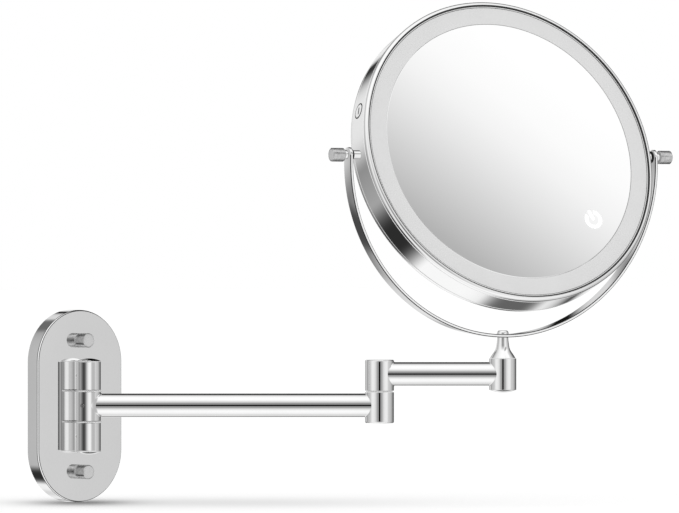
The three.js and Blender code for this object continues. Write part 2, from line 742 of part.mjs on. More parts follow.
addPiece(faced, "drum_band", "chrome", drumBand());
addPiece(faced, "front_bezel", "chrome", bezel(bezelInside, lightRingRadius));
addPiece(faced, "back_bezel", "chrome",
  bezel(backGlassRadius - backBezelGrip, backGlassRadius).mirror([0, 0, 1]));
addPiece(faced, "front_mirror", "mirror", rod(glassRadius, glassBack, glassFront, ringSides));
addPiece(faced, "diffuser_ring", "diffuser", diffuserRing());
addPiece(faced, "back_mirror", "mirror", magnifyingGlass());
addPiece(faced, "led_board", "board", ledBoard());
addPiece(faced, "inner_tray", "white_plastic", innerTray());
addPiece(faced, "battery_pack", "foil", block(...batterySize, [0, 0, 0]),
  [...batteryPlace, trayBack - seat - batterySize[2] / 2]);
addPiece(faced, "control_board", "board", controlBoard(),
  [...boardPlace, trayBack - seat - boardSize[2] / 2]);
addPiece(faced, "touch_sensor", "black_plastic",
  rod(touchRadius, glassBack - seat - touchThickness, glassBack - seat), [...touchPlace, 0]);
addPiece(faced, "charge_port", "black_plastic", chargePort());
for (const [name, facing] of Object.entries(facings)) {
  addPiece(faced, `pivot_boss_${name}`, "satin_steel", pivotBoss(facing));
  addPiece(faced, `pivot_spacer_${name}`, "chrome",
    alongKnobs(washer(knobShankRadius + seat, spacerRadius, spacerStart, spacerEnd), facing));
  addPiece(faced, `tilt_washer_${name}`, "nylon",
    alongKnobs(washer(knobShankRadius + seat, tiltWasherRadius, yokeInside - seat - tiltWasherThickness,
      yokeInside - seat), facing));
  addPiece(faced, `side_knob_${name}`, "chrome", knob(facing));
}

export default part;
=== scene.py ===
# %% [markdown]
# # An extendable shaving mirror
#
# The real object is almost all chromed brass: a wall plate, a hinge, two tubes, an elbow, a thin yoke and a
# round drum with a mirror on each side. The CAD model already fixes every size and every joint, so this
# notebook only makes the surfaces that are seen: true round metal instead of flats, rolled edges that
# catch a highlight, knurled knobs, and the finish of each material.
#
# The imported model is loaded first. It comes in as a fixed frame that is never moved, and each new piece
# rides on one of its bodies.

import json
import math

import bmesh
import bpy
from mathutils import Matrix, Vector


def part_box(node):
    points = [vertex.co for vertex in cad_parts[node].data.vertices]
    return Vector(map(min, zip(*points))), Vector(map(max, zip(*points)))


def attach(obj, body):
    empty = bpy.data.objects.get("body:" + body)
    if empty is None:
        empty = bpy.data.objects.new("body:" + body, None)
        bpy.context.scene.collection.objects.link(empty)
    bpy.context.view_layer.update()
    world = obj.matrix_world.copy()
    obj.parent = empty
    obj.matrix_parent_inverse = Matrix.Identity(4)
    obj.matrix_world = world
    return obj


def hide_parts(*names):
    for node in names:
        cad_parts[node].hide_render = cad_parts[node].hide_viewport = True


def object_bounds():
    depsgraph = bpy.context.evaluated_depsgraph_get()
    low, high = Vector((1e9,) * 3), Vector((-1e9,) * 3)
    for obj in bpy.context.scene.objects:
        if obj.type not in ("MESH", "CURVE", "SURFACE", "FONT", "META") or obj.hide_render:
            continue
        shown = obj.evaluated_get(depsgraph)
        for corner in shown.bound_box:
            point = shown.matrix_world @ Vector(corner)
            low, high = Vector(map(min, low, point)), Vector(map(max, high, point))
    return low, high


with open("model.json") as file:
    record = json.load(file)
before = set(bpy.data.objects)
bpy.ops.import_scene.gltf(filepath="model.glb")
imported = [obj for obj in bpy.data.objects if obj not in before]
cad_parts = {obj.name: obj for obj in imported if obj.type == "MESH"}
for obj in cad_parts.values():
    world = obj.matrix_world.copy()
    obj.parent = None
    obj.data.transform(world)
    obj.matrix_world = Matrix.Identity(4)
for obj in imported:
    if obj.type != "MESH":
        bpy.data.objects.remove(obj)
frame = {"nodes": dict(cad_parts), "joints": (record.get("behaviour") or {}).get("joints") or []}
cad_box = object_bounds()

# %% [markdown]
# ## Where things are
#
# A piece is easiest to model standing on its own axis, in millimetres, and to put in its place at the
# end. Each place is a small local frame: an origin, a direction for X and a direction for Z. All of them
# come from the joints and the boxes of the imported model, so a change in the CAD carries through to here.

# %% Local frames from the joints
MM = 0.001
UP = Vector((0, 0, 1))
OUT = Vector((0, -1, 0))  # away from the wall
RIGHT = Vector((1, 0, 0))

joints = {joint["name"]: joint for joint in frame["joints"]}


def joint_place(name):
    return Vector(joints[name]["pos_m"])


def local_frame(origin, x_axis, z_axis):
    """Millimetres in a frame whose X and Z point along the two directions, at an origin in metres."""
    x = x_axis.normalized()
    z = (z_axis - z_axis.project(x)).normalized()
    turn = Matrix((x, z.cross(x), z)).transposed().to_4x4()
    return Matrix.Translation(origin) @ turn @ Matrix.Scale(MM, 4)


def on_floor_level(point):
    return Vector((point.x, point.y, 0))


def centre_of(node):
    low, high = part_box(node)
    return (low + high) / 2


hinge_axis = on_floor_level(joint_place("base_swing"))
elbow_axis = on_floor_level(joint_place("elbow_turn"))
swivel_axis = on_floor_level(joint_place("yoke_swivel"))
pivot = joint_place("mirror_tilt")
knob_line = Vector(joints["mirror_tilt"]["axis"]).normalized()
arm_line = (elbow_axis - hinge_axis).normalized()
fore_line = (swivel_axis - elbow_axis).normalized()
mirror_faces = centre_of("front_mirror") - centre_of("drum_band")
mirror_faces = (mirror_faces - mirror_faces.project(knob_line)).normalized()

hinge = local_frame(hinge_axis, arm_line, UP)
elbow = local_frame(elbow_axis, fore_line, UP)
swivel = local_frame(swivel_axis, fore_line, UP)
yoke = local_frame(swivel_axis, knob_line, UP)
head = local_frame(pivot, knob_line, mirror_faces)
print("the mirror faces", [round(part, 3) for part in mirror_faces])

# %% [markdown]
# ## How big things are
#
# The sizes are read from the CAD nodes too. A node's corners are turned into a local frame, where the
# lowest and highest of them, and the largest distance from the Z axis, say all that a turned piece needs.

# %% Measure a CAD node in a local frame
def corners(node, place):
    back = place.inverted()
    return [back @ vertex.co for vertex in frame["nodes"][node].data.vertices]


def span(node, place, axis=2):
    """Lowest and highest place of a node along a local axis, in millimetres."""
    along = [corner[axis] for corner in corners(node, place)]
    return min(along), max(along)


def radius_of(node, place, highest=math.inf):
    """Largest distance of a node's corners from the local Z axis, up to a height."""
    return max(corner.xy.length for corner in corners(node, place) if corner.z <= highest)


print("the drum is", round(2 * radius_of("drum_band", head), 1), "mm across")


# %% [markdown]
# ## The camera
#
# The camera stands level with the arm, four metres off and with a long lens, as in a catalogue picture: the
# far lens keeps the round parts round. It is made before anything else is, so that every later step can be
# looked at through it.

# %% Camera
CAMERA_BEARING = math.radians(39.5)  # to the left of the wall's normal
CAMERA_DISTANCE = 4.0
AIM_ALONG_ARM = 0.1673
AIM_HEIGHT = 0.0999
SENSOR = 36
LENS = 318

to_camera = Vector((-math.sin(CAMERA_BEARING), -math.cos(CAMERA_BEARING), 0))
aim = hinge_axis + arm_line * AIM_ALONG_ARM + UP * AIM_HEIGHT

camera_data = bpy.data.cameras.new("camera")
camera_data.sensor_width = SENSOR
camera_data.lens = LENS
camera_data.clip_end = 100
camera = bpy.data.objects.new("camera", camera_data)
camera.location = aim + to_camera * CAMERA_DISTANCE
camera.rotation_euler = (-to_camera).to_track_quat("-Z", "Y").to_euler()
bpy.context.scene.collection.objects.link(camera)
bpy.context.scene.camera = camera
bpy.context.scene.view_settings.view_transform = "Standard"
print("camera at", [round(part, 3) for part in camera.location])

# %% [markdown]
# ## The studio
#
# Chrome has no colour of its own: it shows the room. So the room is the most important material here. A
# product studio is a white tent with a round hole for the lens. The lens is the small black spot in the
# middle, the tent's mouth is a grey ring round it, and the tent falls into shade behind the object. The
# World shader draws that tent from the direction of each ray, so it is sharp at any distance. It is fixed
# to the room and not to the camera. Plain surfaces are lit by an even white instead, which keeps them calm.

# %% Shader helpers
def feed(tree, socket, value):
    """Links a socket to an output, or sets it to a value."""
    if isinstance(value, bpy.types.NodeSocket):
        tree.links.new(value, socket)
    else:
        socket.default_value = value


def node_maker(tree):
    """Two short functions that add nodes to a tree: one of any type, and one for maths."""

    def add(kind, inputs=None, **settings):
        node = tree.nodes.new(kind)
        for name, value in settings.items():
            setattr(node, name, value)
        for socket, value in (inputs or {}).items():
            feed(tree, node.inputs[socket], value)
        return node

    def maths(operation, *inputs, clamp=False):
        return add("ShaderNodeMath", dict(enumerate(inputs)), operation=operation, use_clamp=clamp).outputs[0]

    return add, maths


def dot(add, vector, fixed):
    return add("ShaderNodeVectorMath", {0: vector, 1: fixed}, operation="DOT_PRODUCT").outputs["Value"]


def distance(add, place, centre):
    return add("ShaderNodeVectorMath", {0: place, 1: centre}, operation="DISTANCE").outputs["Value"]


def smooth_step(add, value, start, full, most=1.0):
    """Grows softly from nothing at start to most at full."""
    inputs = {"Value": value, "From Min": start, "From Max": full, "To Max": most}
    return add("ShaderNodeMapRange", inputs, interpolation_type="SMOOTHSTEP").outputs["Result"]


def grey(level):
    """A display grey from 0 to 255 as light."""
    share = level / 255
    return ((share + 0.055) / 1.055) ** 2.4 if share > 0.04045 else share / 12.92


def grey_ramp(add, place, stops):
    """A colour ramp filled with (place, display grey) stops."""
    node = add("ShaderNodeValToRGB", {0: place})
    ramp = node.color_ramp
    while len(ramp.elements) > 1:
        ramp.elements.remove(ramp.elements[-1])
    for index, (spot, level) in enumerate(stops):
        element = ramp.elements[0] if index == 0 else ramp.elements.new(spot)
        element.position = spot
        element.color = (*[grey(level)] * 3, 1)
    return node.outputs["Color"]


print("a middle grey gives back", round(grey(128), 3), "of the light")

# %% The tent
# Degrees away from the lens, and the display grey seen there: sideways, above and below.
TENT_SIDEWAYS = [
    (0, 2), (6.2, 2), (7.2, 150), (14, 156), (20, 166), (28, 204), (38, 226), (50, 236), (62, 236),
    (70, 222), (79, 197), (90, 198), (103, 184), (116, 162), (130, 120), (144, 84), (156, 66), (180, 70),
]
TENT_ABOVE = [
    (0, 2), (6.2, 2), (7.2, 132), (14, 138), (20, 150), (28, 190), (38, 222), (50, 247), (62, 255),
    (84, 254), (98, 236), (112, 200), (121, 152), (128, 60), (136, 14), (150, 8), (168, 14), (180, 60),
]
TENT_BELOW = [
    (0, 2), (6.2, 2), (7.2, 136), (14, 144), (20, 156), (28, 196), (38, 226), (50, 248), (62, 252),
    (84, 242), (98, 222), (114, 190), (124, 140), (132, 84), (142, 58), (156, 52), (180, 70),
]
# Soft panels that stand behind: bearing right of the lens, elevation, how wide in degrees, and grey.
PANELS = [
    (-143, -52, 22, 248), (-140, 10, 15, 228), (-163, -30, 10, 214), (180, -6, 9, 242), (180, -30, 12, 244),
    (-134, -18, 6, 70), (175, -41, 10, 98), (-174, 10, 6, 232), (-158, 30, 10, 214), (-118, -34, 11, 44),
    (-141, 39, 10, 104),
]
PANEL_OUTSIDE = 1.5  # how far a panel reaches at all, and how far it is full, for each degree of its width
PANEL_INSIDE = 0.3
CHROME_LOSS = 0.95  # the share of light that the metal gives back

world = bpy.data.worlds.new("studio")
bpy.context.scene.world = world
world.use_nodes = True
world.node_tree.nodes.clear()
add, maths = node_maker(world.node_tree)


def as_colour(value):
    return value if isinstance(value, bpy.types.NodeSocket) else (*[grey(value)] * 3, 1)


def mix_colour(share, first, second):
    """Two colours mixed. Each may be an output or a display grey."""
    inputs = {"Factor": share, "A": as_colour(first), "B": as_colour(second)}
    return add("ShaderNodeMix", inputs, data_type="RGBA").outputs["Result"]


def tent_wall(stops):
    return grey_ramp(add, away_share, [(degrees / 180, level) for degrees, level in stops])


def seen_from(bearing, elevation):
    """A direction, from degrees right of the lens and above it."""
    level = Vector((to_camera.x, to_camera.y, 0))
    level.rotate(Matrix.Rotation(math.radians(bearing), 3, "Z"))
    return level * math.cos(math.radians(elevation)) + UP * math.sin(math.radians(elevation))


direction = add("ShaderNodeTexCoord").outputs["Generated"]
toward_lens = maths("MAXIMUM", maths("MINIMUM", dot(add, direction, to_camera), 1.0), -1.0)
away_share = maths("DIVIDE", maths("ARCCOSINE", toward_lens), math.pi)
height = dot(add, direction, UP)
across = maths("SUBTRACT", 1.0001, maths("MULTIPLY", toward_lens, toward_lens))
upright_share = maths("DIVIDE", maths("MULTIPLY", height, height), across, clamp=True)
is_above = maths("GREATER_THAN", height, 0.0)

upright = mix_colour(is_above, tent_wall(TENT_BELOW), tent_wall(TENT_ABOVE))
tent = mix_colour(upright_share, tent_wall(TENT_SIDEWAYS), upright)
for bearing, elevation, width, level in PANELS:
    nearness = dot(add, direction, seen_from(bearing, elevation))
    rim = math.cos(math.radians(PANEL_OUTSIDE * width))
    full = math.cos(math.radians(PANEL_INSIDE * width))
    tent = mix_colour(smooth_step(add, nearness, rim, full), tent, level)

tent_light = add("ShaderNodeBackground", {"Color": tent, "Strength": 1 / CHROME_LOSS})
white_light = add("ShaderNodeBackground", {"Color": (1, 1, 1, 1), "Strength": 1.0})
is_glossy = add("ShaderNodeLightPath").outputs["Is Glossy Ray"]
by_ray = add("ShaderNodeMixShader", {"Fac": is_glossy, 1: white_light.outputs[0], 2: tent_light.outputs[0]})
add("ShaderNodeOutputWorld", {"Surface": by_ray.outputs[0]})
print("tent drawn with", len(PANELS), "soft panels")

# %% [markdown]
# ## Floor
#
# The floor is a plain white sheet just under the plate's lower end, as bright as the backdrop, so that
# the two melt together. What is left of it is a soft shadow: dark and small where the plate nearly
# touches, wide and faint under the arm. Both are drawn into the floor's own material as bell curves, on
# top of the real shadow. The floor is kept out of the reflections, where the tent already says what is
# below.

# %% Floor
FLOOR_SIZE = 40
FLOOR_GAP = 0.0004
FLOOR_MATT = 0.45
FLOOR_GLOW = 0.58
# Each shadow: how far right of the plate, how wide across and along the view, all in metres, and how dark.
SHADOWS = [(0.001, 0.033, 0.05, 0.66), (0.09, 0.13, 0.085, 0.2)]
ANY_HEIGHT = 1000  # the bell curves don't change with height


def empty_material(name):
    """A material without nodes, and the two functions that add them."""
    material = bpy.data.materials.new(name)
    material.use_nodes = True
    material.node_tree.nodes.clear()
    return material, *node_maker(material.node_tree)


def white_floor_material():
    material, add_node, sums = empty_material("white_floor")
    place = add_node("ShaderNodeTexCoord").outputs["Object"]
    light = 1.0
    for right, across_size, along_size, dark in SHADOWS:
        under = hinge_axis / 2 - to_camera.cross(UP) * right
        size = (across_size, along_size, ANY_HEIGHT)
        inputs = {"Vector": place, "Location": under, "Rotation": (0, 0, -CAMERA_BEARING), "Scale": size}
        spot = add_node("ShaderNodeMapping", inputs, vector_type="TEXTURE").outputs["Vector"]
        bell = sums("EXPONENT", sums("MULTIPLY", dot(add_node, spot, spot), -1.0))
        light = sums("MULTIPLY", light, sums("SUBTRACT", 1.0, sums("MULTIPLY", bell, dark)))
    matt = add_node("ShaderNodeBsdfDiffuse", {"Color": sums("MULTIPLY", light, FLOOR_MATT)})
    glow = add_node("ShaderNodeEmission", {"Color": sums("MULTIPLY", light, FLOOR_GLOW)})
    both = add_node("ShaderNodeAddShader", {0: matt.outputs[0], 1: glow.outputs[0]})
    add_node("ShaderNodeOutputMaterial", {"Surface": both.outputs[0]})
    return material


def staged(bm, name, place, material):
    """A shape that stands in the studio and isn't part of the mirror."""
    mesh = bpy.data.meshes.new(name)
    bm.to_mesh(mesh)
    bm.free()
    mesh.transform(place)
    mesh.materials.append(material)
    thing = bpy.data.objects.new(name, mesh)
    bpy.context.scene.collection.objects.link(thing)
    return thing


def square(size):
    bm = bmesh.new()
    bmesh.ops.create_grid(bm, x_segments=1, y_segments=1, size=size / 2)
    return bm


floor_height = cad_box[0].z - FLOOR_GAP
floor = staged(
    square(FLOOR_SIZE), "floor", Matrix.Translation((0, 0, floor_height)), white_floor_material())
floor.visible_glossy = False
print("floor at", round(floor_height, 4))

# %% [markdown]
# ## Cards
#
# A photographer shapes the reflections with cards that stand near the object, just out of the picture. A
# large one in front of the mirror runs from white to grey, and fills the glass with an even gradient. A
# small bent one, like a sleeve of paper, stands round the hinge: it keeps the lens out of the barrels and
# puts a dark band beside a white one, which is what makes them look round. The cards are only seen in
# reflections.

# %% Cards seen in reflections
CARD_RIM = 0.7  # the share of a card's radius where its rim starts to fade


def only_in_reflections(thing):
    for ray in ("visible_camera", "visible_diffuse", "visible_shadow", "visible_transmission"):
        setattr(thing, ray, False)


def card(name, centre, faces, radius, slope, stops):
    """A round card with a soft rim. Its grey follows stops, over the place along slope, in metres."""
    material, add_node, _ = empty_material(name)
    place = add_node("ShaderNodeTexCoord").outputs["Object"]
    first, last = stops[0][0], stops[-1][0]
    spread = add_node("ShaderNodeMapRange", {
        "Value": dot(add_node, place, slope),
        "From Min": slope.dot(centre) + first,
        "From Max": slope.dot(centre) + last,
    })
    shares = [((spot - first) / (last - first), level) for spot, level in stops]
    greys = grey_ramp(add_node, spread.outputs["Result"], shares)
    glow = add_node("ShaderNodeEmission", {"Color": greys, "Strength": 1 / CHROME_LOSS})
    rim = smooth_step(add_node, distance(add_node, place, centre), CARD_RIM * radius, radius)
    nothing = add_node("ShaderNodeBsdfTransparent")
    both = add_node("ShaderNodeMixShader", {"Fac": rim, 1: glow.outputs[0], 2: nothing.outputs[0]})
    add_node("ShaderNodeOutputMaterial", {"Surface": both.outputs[0]})

    turn = faces.to_track_quat("Z", "Y").to_matrix().to_4x4()
    only_in_reflections(staged(square(2 * radius), name, Matrix.Translation(centre) @ turn, material))
    print(name, "at", [round(part, 3) for part in centre])

# %% Card in front of the mirror
GLASS_CARD_DISTANCE = 0.62
GLASS_CARD_RADIUS = 0.34
SLOPE_RIGHT = 0.345  # how much the place along the gradient grows for each metre across the glass, and up it
SLOPE_UP = 0.42
GLASS_GREYS = [(-58, 166), (-42, 180), (-21, 207), (0, 230), (15, 243), (30, 251), (50, 255)]

glass_centre = centre_of("front_mirror")
mirrored = 2 * mirror_faces.dot(to_camera) * mirror_faces - to_camera
in_glass = knob_line * SLOPE_RIGHT + mirror_faces.cross(knob_line) * SLOPE_UP
glass_slope = in_glass - mirror_faces * in_glass.dot(mirrored) / mirror_faces.dot(mirrored)
glass_stops = [(spot * MM, level) for spot, level in GLASS_GREYS]
card("card_mirror", glass_centre + mirrored * GLASS_CARD_DISTANCE, -mirrored, GLASS_CARD_RADIUS, glass_slope,
     glass_stops)

# %% Sleeve round the hinge
SLEEVE_RADIUS = 0.0094
SLEEVE_HEIGHT = 0.059
SLEEVE_STEPS = 48
# Bearings right of the lens, as seen from the hinge, and the display grey there.
SLEEVE_GREYS = [
    (-58, 90), (-53, 150), (-47, 162), (-39, 132), (-32, 92), (-26, 62), (-20, 70), (-14, 116), (-9, 172),
    (-3, 212), (2, 236), (7, 243), (13, 239), (18, 200), (24, 182), (33, 184), (41, 200),
]
sleeve_start, sleeve_end = (math.radians(SLEEVE_GREYS[end][0]) for end in (0, -1))


def sleeve_material():
    material, add_node, sums = empty_material("sleeve")
    place = add_node("ShaderNodeTexCoord").outputs["Object"]
    from_hinge = add_node("ShaderNodeVectorMath", {0: place, 1: hinge_axis}, operation="SUBTRACT").outputs[0]
    right, near = (dot(add_node, from_hinge, fixed) for fixed in (-to_camera.cross(UP), to_camera))
    width = sleeve_end - sleeve_start
    share = sums("DIVIDE", sums("SUBTRACT", sums("ARCTAN2", right, near), sleeve_start), width)
    stops = [((math.radians(degrees) - sleeve_start) / width, level) for degrees, level in SLEEVE_GREYS]
    greys = grey_ramp(add_node, share, stops)
    glow = add_node("ShaderNodeEmission", {"Color": greys, "Strength": 1 / CHROME_LOSS})
    add_node("ShaderNodeOutputMaterial", {"Surface": glow.outputs[0]})
    return material


def spin(bm, angle, steps, axis=(0, 0, 1), merge=False):
    """Spins all of a shape round an axis through the origin, and returns what came of it."""
    everything = bm.verts[:] + bm.edges[:] + bm.faces[:]
    return bmesh.ops.spin(
        bm, geom=everything, cent=(0, 0, 0), axis=axis, angle=angle, steps=steps, use_merge=merge,
        use_duplicate=False)


def sleeve():
    """Part of a cylinder round the hinge: an upright edge, spun through the bearings."""
    bm = bmesh.new()
    start = to_camera * SLEEVE_RADIUS
    start.rotate(Matrix.Rotation(sleeve_start, 3, "Z"))
    bm.edges.new([bm.verts.new(start + UP * side * SLEEVE_HEIGHT / 2) for side in (-1, 1)])
    spin(bm, sleeve_end - sleeve_start, SLEEVE_STEPS)
    return bm


only_in_reflections(staged(sleeve(), "sleeve", Matrix.Translation(hinge_axis), sleeve_material()))
print("sleeve round the hinge, from", SLEEVE_GREYS[0][0], "to", SLEEVE_GREYS[-1][0], "degrees")

# %% [markdown]
# ## Finishes
#
# Every finish is a Principled shader, and what varies over it comes from one node group: broad cloudy marks
# that make the polish a little uneven, and a fine grain. The group hands out a tone, a roughness and a
# height, and each finish sets how fine, how strong and how rough they are. Coordinates are Object
# coordinates, which stay put when a part turns, because each object's origin is the room's origin.

# %% The surface_marks group
GROUP_INPUTS = [
    ("Place", "NodeSocketVector", (0, 0, 0)),
    ("Cloud Scale", "NodeSocketFloat", 40),
    ("Grain Scale", "NodeSocketFloat", 900),
    ("Darkest", "NodeSocketColor", (0.9, 0.9, 0.9, 1)),
    ("Lightest", "NodeSocketColor", (1, 1, 1, 1)),
    ("Smoothest", "NodeSocketFloat", 0.02),
    ("Roughest", "NodeSocketFloat", 0.05),
]
GROUP_OUTPUTS = [("Tone", "NodeSocketColor"), ("Roughness", "NodeSocketFloat"), ("Height", "NodeSocketFloat")]
CLOUD_SHARE = 0.6
GRAIN_SHARE = 0.4
NOISE_RANGE = (0.35, 0.65)  # where nearly all of the mixed noise lies


def surface_marks_group():
    group = bpy.data.node_groups.new("surface_marks", "ShaderNodeTree")
    for name, kind, value in GROUP_INPUTS:
        group.interface.new_socket(name, in_out="INPUT", socket_type=kind).default_value = value
    for name, kind in GROUP_OUTPUTS:
        group.interface.new_socket(name, in_out="OUTPUT", socket_type=kind)
    add_node, sums = node_maker(group)
    given = add_node("NodeGroupInput").outputs

    weighted = []
    for scale, detail, share in (("Cloud Scale", 3, CLOUD_SHARE), ("Grain Scale", 2, GRAIN_SHARE)):
        inputs = {"Vector": given["Place"], "Scale": given[scale], "Detail": detail}
        noise = add_node("ShaderNodeTexNoise", inputs)
        weighted.append(sums("MULTIPLY", noise.outputs["Fac"], share))
    mixed = sums("ADD", *weighted)
    inputs = {"Value": mixed, "From Min": NOISE_RANGE[0], "From Max": NOISE_RANGE[1]}
    spread = add_node("ShaderNodeMapRange", inputs).outputs["Result"]
    inputs = {"Factor": spread, "A": given["Darkest"], "B": given["Lightest"]}
    shade = add_node("ShaderNodeMix", inputs, data_type="RGBA").outputs["Result"]
    inputs = {"Value": spread, "To Min": given["Smoothest"], "To Max": given["Roughest"]}
    rough = add_node("ShaderNodeMapRange", inputs).outputs["Result"]
    add_node("NodeGroupOutput", {"Tone": shade, "Roughness": rough, "Height": mixed})
    return group


surface_marks = surface_marks_group()
print("group made:", surface_marks.name)


# %% A finish from the group
GRAIN_HEIGHT = MM / 10


def finish(name, metallic, darkest, lightest, smoothest, roughest, cloud=40, grain=900, bump=0.0,
           stretch=(1, 1, 1)):
    """A Principled material whose tone, roughness and fine height come from the surface_marks group."""
    material, add_node, _ = empty_material(name)
    place = add_node("ShaderNodeTexCoord").outputs["Object"]
    mapping = add_node("ShaderNodeMapping", {"Vector": place, "Scale": stretch})
    marks = add_node("ShaderNodeGroup", {
        "Place": mapping.outputs["Vector"], "Cloud Scale": cloud, "Grain Scale": grain,
        "Smoothest": smoothest, "Roughest": roughest, "Darkest": (*darkest, 1), "Lightest": (*lightest, 1),
    }, node_tree=surface_marks).outputs
    inputs = {"Metallic": metallic, "Base Color": marks["Tone"], "Roughness": marks["Roughness"]}
    shader = add_node("ShaderNodeBsdfPrincipled", inputs, name="surface")
    if bump:
        inputs = {"Strength": bump, "Distance": GRAIN_HEIGHT, "Height": marks["Height"]}
        height = add_node("ShaderNodeBump", inputs)
        feed(material.node_tree, shader.inputs["Normal"], height.outputs["Normal"])
    add_node("ShaderNodeOutputMaterial", {"Surface": shader.outputs[0]})
    return material


def tone(level, warmth=0.0):
    """A neutral grey as light, with a little warmth or, below zero, coolness."""
    return (level * (1 + warmth), level, level * (1 - warmth))


print("the grain is", round(GRAIN_HEIGHT / MM, 2), "mm high at full strength")


# %% [markdown]
# Chrome is a metal with almost no roughness and only the faintest haze. The knurled heads have the same
# plating, but their ridges scatter it, and their flat ends less so; their knurled sides also get a much
# darker tone, painted shade for the knurling. Where the plating turns a sharp edge or meets a seat it looks
# nearly
# black, so those edges get painted shade: a near-black finish of their own, which has no gloss. Inside parts
# are plain zinc, satin steel, nylon, moulded plastic, green circuit board and the foil of a battery.
# The diffuser is a frosted plastic ring.

# %% All the finishes
finishes = {
    "chrome": finish("chrome", 1, tone(0.935), tone(0.965), 0.012, 0.03, cloud=30, grain=700),
    # The knurled sides' tone is much darker than the chrome's: painted shade for the knurling. Their
    # roughness and bump are real.
    "knurled_chrome": finish(
        "knurled_chrome", 1, tone(0.46), tone(0.74), 0.16, 0.3, cloud=500, grain=2500, bump=0.3),
    "faced_chrome": finish(
        "faced_chrome", 1, tone(0.82), tone(0.89), 0.12, 0.2, cloud=300, grain=2000, bump=0.1),
    # Near black and without gloss: painted shade for the dark lines at edges and seats.
    "painted_shade_edge": finish("painted_shade_edge", 0, tone(0.02), tone(0.05), 0.12, 0.24, cloud=200, grain=2000),
    "satin_steel": finish(
        "satin_steel", 1, tone(0.58, 0.01), tone(0.74, 0.01), 0.22, 0.36, cloud=90, grain=1500, bump=0.2,
        stretch=(1, 1, 12)),
    "zinc_steel": finish(
        "zinc_steel", 1, tone(0.5, -0.02), tone(0.74, -0.01), 0.32, 0.52, cloud=160, grain=1400, bump=0.3),
    "nylon": finish("nylon", 0, tone(0.7), tone(0.76), 0.38, 0.5, cloud=200, grain=1600, bump=0.15),
    "mirror_glass": finish("mirror_glass", 1, tone(0.95), tone(0.955), 0.0, 0.004, cloud=6, grain=60),
    "diffuser": finish("diffuser", 0, tone(0.685), tone(0.715), 0.5, 0.62, cloud=60, grain=1300, bump=0.12),
    "white_plastic": finish("white_plastic", 0, tone(0.74, 0.01), tone(0.8, 0.01), 0.42, 0.55, bump=0.1),
    "circuit_board": finish(
        "circuit_board", 0, (0.012, 0.11, 0.045), (0.02, 0.17, 0.07), 0.3, 0.5, cloud=300, grain=1200),
    "black_plastic": finish("black_plastic", 0, tone(0.012), tone(0.022), 0.35, 0.5, cloud=150, bump=0.15),
    "battery_foil": finish(
        "battery_foil", 0.9, tone(0.45), tone(0.62), 0.25, 0.4, cloud=120, grain=600, bump=0.4),
}
finishes["painted_shade_edge"].node_tree.nodes["surface"].inputs["Specular IOR Level"].default_value = 0
# The second finish on the edges and ends of a piece in the first finish, where they differ from the rest:
# near-black painted shade on chrome, and a plainer finish on the knurled heads' ends.
SECOND_FINISH = {"chrome": "painted_shade_edge", "knurled_chrome": "faced_chrome"}
print("finishes:", ", ".join(finishes))

# %% [markdown]
# ## Turned pieces
#
# Nearly every part of the arm was turned on a lathe, and the same is done here. An outline is drawn as a
# chain of edges, from the axis out and back, each corner gets its own rounding with a vertex bevel, and
# the chain is spun once round. Sharp corners never look like metal, so nearly every edge that is seen
# gets at least a tenth of a millimetre.

# %% Spin an outline
FINE_STEPS = 128
RING_STEPS = 256
SMALL_STEPS = 64
TINY_STEPS = 48
ROUND_SEGMENTS = 4
WELD = 1e-4


def outline_chain(outline, closed=False):
    """The outline as edges in the XZ plane. A point is (radius, height) or (radius, height, rounding)."""
    bm = bmesh.new()
    verts = [bm.verts.new((point[0], 0, point[1])) for point in outline]
    ends = verts[1:] + verts[:1] if closed else verts[1:]
    for start, end in zip(verts, ends):
        bm.edges.new((start, end))
    for vert, point in zip(verts, outline):
        if len(point) > 2:
            bmesh.ops.bevel(
                bm, geom=[vert], offset=point[2], offset_type="OFFSET", segments=ROUND_SEGMENTS, profile=0.5,
                affect="VERTICES", material=-1)
    return bm


def weld(bm):
    bmesh.ops.remove_doubles(bm, verts=bm.verts, dist=WELD)
    bmesh.ops.recalc_face_normals(bm, faces=bm.faces)
    return bm


def spun(outline, closed=False, steps=FINE_STEPS):
    """A turned solid on the Z axis. A closed outline makes a ring."""
    bm = outline_chain(outline, closed)
    spin(bm, 2 * math.pi, steps, merge=True)
    return weld(bm)


def join(bm, other):
    """Adds another shape, which is used up."""
    mesh = bpy.data.meshes.new("joining")
    other.to_mesh(mesh)
    other.free()
    bm.from_mesh(mesh)
    bpy.data.meshes.remove(mesh)


def shift(bm, move):
    bmesh.ops.translate(bm, verts=bm.verts, vec=move)


def rotate(bm, angle, axis="Z"):
    bmesh.ops.rotate(bm, verts=bm.verts, matrix=Matrix.Rotation(angle, 3, axis))


print("rings are spun in", RING_STEPS, "steps, barrels in", FINE_STEPS)

# %% [markdown]
# A finished shape becomes an object in one place. It goes from its local frame to the room, gets smooth
# shading and a Weighted Normal modifier, which keeps the flats flat and lets only the roundings turn the
# light, and then rides on its body.

# %% Put a piece in the model
FLATS_WIN = 100  # the Weighted Normal modifier's highest weight
made_pieces = {}


def put(bm, name, place, body, slot, *replaced):
    """Bakes the shape into its place and adds it to the model. It stands for the CAD nodes in replaced."""
    mesh = bpy.data.meshes.new(name)
    bm.to_mesh(mesh)
    bm.free()
    mesh.transform(place)
    mesh.shade_smooth()
    mesh.materials.append(finishes[slot])
    if any(face.material_index for face in mesh.polygons):
        mesh.materials.append(finishes[SECOND_FINISH[slot]])
    piece = bpy.data.objects.new(name, mesh)
    bpy.context.scene.collection.objects.link(piece)
    normals = piece.modifiers.new("even_flats", "WEIGHTED_NORMAL")
    normals.mode = "FACE_AREA"
    normals.weight = FLATS_WIN
    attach(piece, body)
    if replaced:
        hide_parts(*replaced)
    made_pieces[name] = piece
    print(f"{name}: {len(mesh.polygons)} faces on {body}")
    return piece
